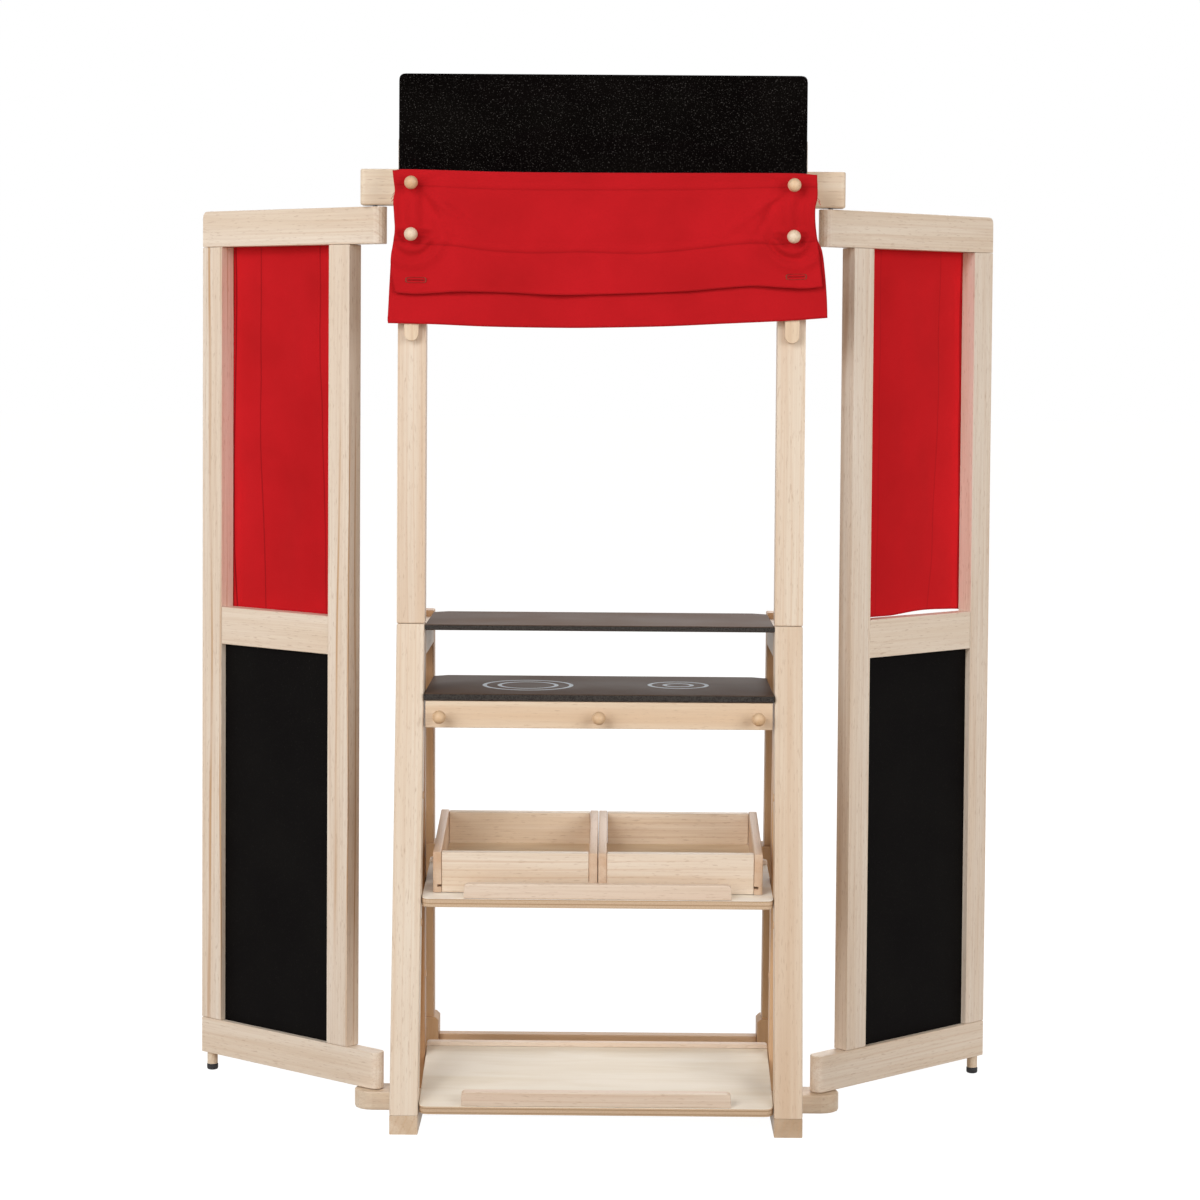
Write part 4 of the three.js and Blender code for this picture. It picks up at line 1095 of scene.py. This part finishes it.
# One ring of thread, squared a little at its ends and laid on the cloth's relief
def threadRing(side, part):
    x, z, roll = buttonhole["places"][side]
    length, height, thread, flatness, material = buttonhole["parts"][part]
    bpy.ops.object.select_all(action="DESELECT")
    bpy.ops.mesh.primitive_torus_add(major_segments=40, minor_segments=8, minor_radius=thread / 1000,
                                     major_radius=buttonhole["half"] * length / 1000)
    ring = bpy.context.object
    power = buttonhole["squareness"]
    for vertex in ring.data.vertices:
        turn = math.atan2(vertex.co.y, vertex.co.x)
        square = (abs(math.cos(turn)) ** power + abs(math.sin(turn)) ** power) ** (-1 / power)
        vertex.co.x *= square
        vertex.co.y *= square
    bpy.ops.object.mode_set(mode="EDIT")
    bpy.ops.mesh.select_all(action="SELECT")
    narrow = buttonhole["high"] / buttonhole["half"] * height
    bpy.ops.transform.resize(value=(1, narrow, flatness), center_override=(0, 0, 0))
    bpy.ops.object.mode_set(mode="OBJECT")
    place = (Matrix.Translation((x / 1000, 0, z / 1000)) @ Matrix.Rotation(math.radians(roll), 4, "Y")
             @ Matrix.Rotation(math.radians(90), 4, "X"))
    settle(ring, "buttonhole_" + part + "_" + side, material, place)
    for vertex in ring.data.vertices:
        front = frontDepth(1000 * vertex.co.x, 1000 * vertex.co.z)
        vertex.co.y += (valance["headerFace"] - front - buttonhole["proud"]) / 1000
    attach(ring, "root")
    return ring


workedHoles = [threadRing(side, part) for side in buttonhole["places"] for part in buttonhole["parts"]]

# A few loose threads at the valance's left and right edges
looseThread = {
    "places": [(-221.2, 989.5, 6, -1), (-221.5, 986.0, 5, -1), (-220.9, 992.5, 4, -1),
               (227.6, 986.5, 6, 1), (227.9, 989.0, 5, 1)],      # across, height, length, side
    "radius": 0.28,
    "face": -52.6,
    "tuck": 1.5,                 # how far each starts in from the edge
    "spread": 0.8,               # how far it spreads and falls, as a share of its length
    "bow": 0.8,                  # how far it bows forward
    "stray": 0.5,
    "points": 5,
    "material": threadMaterial("Red", "B81A20", "D0353A"),
}


def strayThread(name, x, z, length, side):
    size = looseThread
    curve = bpy.data.curves.new("looseThread", "CURVE")
    curve.dimensions = "3D"
    curve.bevel_depth = size["radius"] / 1000
    curve.bevel_resolution = 2
    spline = curve.splines.new("NURBS")
    spline.points.add(size["points"] - 1)
    reach = length * size["spread"]
    for i, spot in enumerate(spline.points):
        t = i / (size["points"] - 1)
        away = x + side * (t * reach - size["tuck"])
        forward = size["face"] - size["bow"] * math.sin(3 * t)
        height = z - t * t * reach + random.uniform(-size["stray"], size["stray"])
        spot.co = (away / 1000, forward / 1000, height / 1000, 1)
    spline.use_endpoint_u = True
    loose = bpy.data.objects.new(name, curve)
    bpy.context.collection.objects.link(loose)
    selectOnly(loose)
    bpy.ops.object.convert(target="MESH")
    loose = settle(bpy.context.object, name, size["material"])
    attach(loose, "root")
    return loose


random.seed(7)
for index, place in enumerate(looseThread["places"]):
    strayThread("loose_thread_" + str(index), *place)
print("valance trimmed")


# Wing curtains: a hemmed cloth behind each upper opening, fixed along the top rail's rear face. Its
# sizes are in millimetres, measured from the hinge pin along the wing.
wingCurtain = {
    "pin": 245.5,
    "left": 51.5,                # from the pin to the cloth's inner edge
    "right": 238.0,
    "top": 965,
    "bottom": {"left": 519, "right": 533},
    "hem": {                     # how far the hem rises above that, along the cloth's width
        "left": [(0, 0), (0.5, 0.3), (1, 0)],
        "right": [(0, 0), (0.18, 0.3), (0.36, 0.2), (0.62, 3.4), (0.85, 2.6), (1, 1.2)],
    },
    "rear": 9.3,                 # the wing's rear face plus a hair
    "air": (0.5, 0.45),          # usual and least air in front of the cloth
    "columns": 74,
    "rows": 150,
    "thickness": 0.8,
    "fullness": 2.4,
    "stiffEdges": (0.2, 0.1),    # shares of its drop and of its width over which the folds grow
    "seed": {"left": 21.3, "right": 33.9},
    "billow": 0.6,
    "broadFolds": (1.1, 52),     # strength and size
    "fineFolds": (0.5, 27),
    "slant": (0.22, 700),        # how much the broad folds lean, and the height they lean about
    "seams": {                   # distance from the pin, strength of its painted shade, and how far it wanders down the cloth
        "left": [(0.1842, 0.55, [(0, 0), (0.4, 0.0027), (0.7, -0.0018), (1, -0.0077)]),
                 (0.0927, 0.50, [(0, 0), (0.4, -0.0015), (0.7, -0.0067), (1, -0.0100)]),
                 # painted shadow: the dark gap between the jamb and the cloth's outer edge, drawn as a seam
                 # line
                 (0.2262, 0.95, [(0, 0), (0.3, -0.0002), (0.8, 0.0022), (1, -0.0040)])],
        "right": [(0.1917, 0.22, [(0, 0), (0.4, 0), (0.7, -0.0040), (1, -0.0140)]),
                  (0.0926, 0.16, [(0, 0), (0.5, 0.0010), (1, -0.0020)]),
                  (0.2275, 0.60, [(0, 0), (1, 0.0010)])],
    },
    "red": {"left": ("CD1C24", "BF191F"), "right": ("D71E26", "CC1C23")},
}


def makeWingCurtain(side):
    sign = -1 if side == "left" else 1
    size = wingCurtain
    place = Matrix.Translation((sign * size["pin"] / 1000, 0, 0)) @ Matrix.Rotation(wingTurn[side], 4, "Z")
    bottom, seed = size["bottom"][side], size["seed"][side]
    usualAir, leastAir = size["air"]
    stiffTop, stiffSide = size["stiffEdges"]
    broad, broadSize = size["broadFolds"]
    fine, fineSize = size["fineFolds"]
    slant, pivot = size["slant"]

    def point(acrossShare, alongShare):
        local = size["left"] + (size["right"] - size["left"]) * acrossShare
        hem = bottom + lineHeight(size["hem"][side], acrossShare)
        z = size["top"] + (hem - size["top"]) * alongShare
        loose = min(1, alongShare / stiffTop) * min(1, acrossShare / stiffSide, (1 - acrossShare) / stiffSide)
        folds = size["billow"] + broad * ripple(local + slant * (z - pivot), z, seed, broadSize)
        folds += fine * ripple(local, 0.5 * z, seed + 5, fineSize)
        depth = size["rear"] + max(usualAir + size["fullness"] * loose * folds, leastAir)
        spot = place @ (Vector((sign * local, depth, z)) / 1000)
        return spot, (local / 1000, alongShare)

    red, deep = size["red"][side]
    length = (size["top"] - bottom) / 1000
    cotton = cottonMaterial("Curtain" + side.title(), red, deep, size["seams"][side], length)
    piece = clothSheet("curtain_cloth_" + side, size["columns"], size["rows"], point,
                       size["thickness"] / 1000, cotton)
    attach(piece, "wing_" + side)
    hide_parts("wing_curtain_" + side)


makeWingCurtain("left")
makeWingCurtain("right")
print("wing curtains hung")
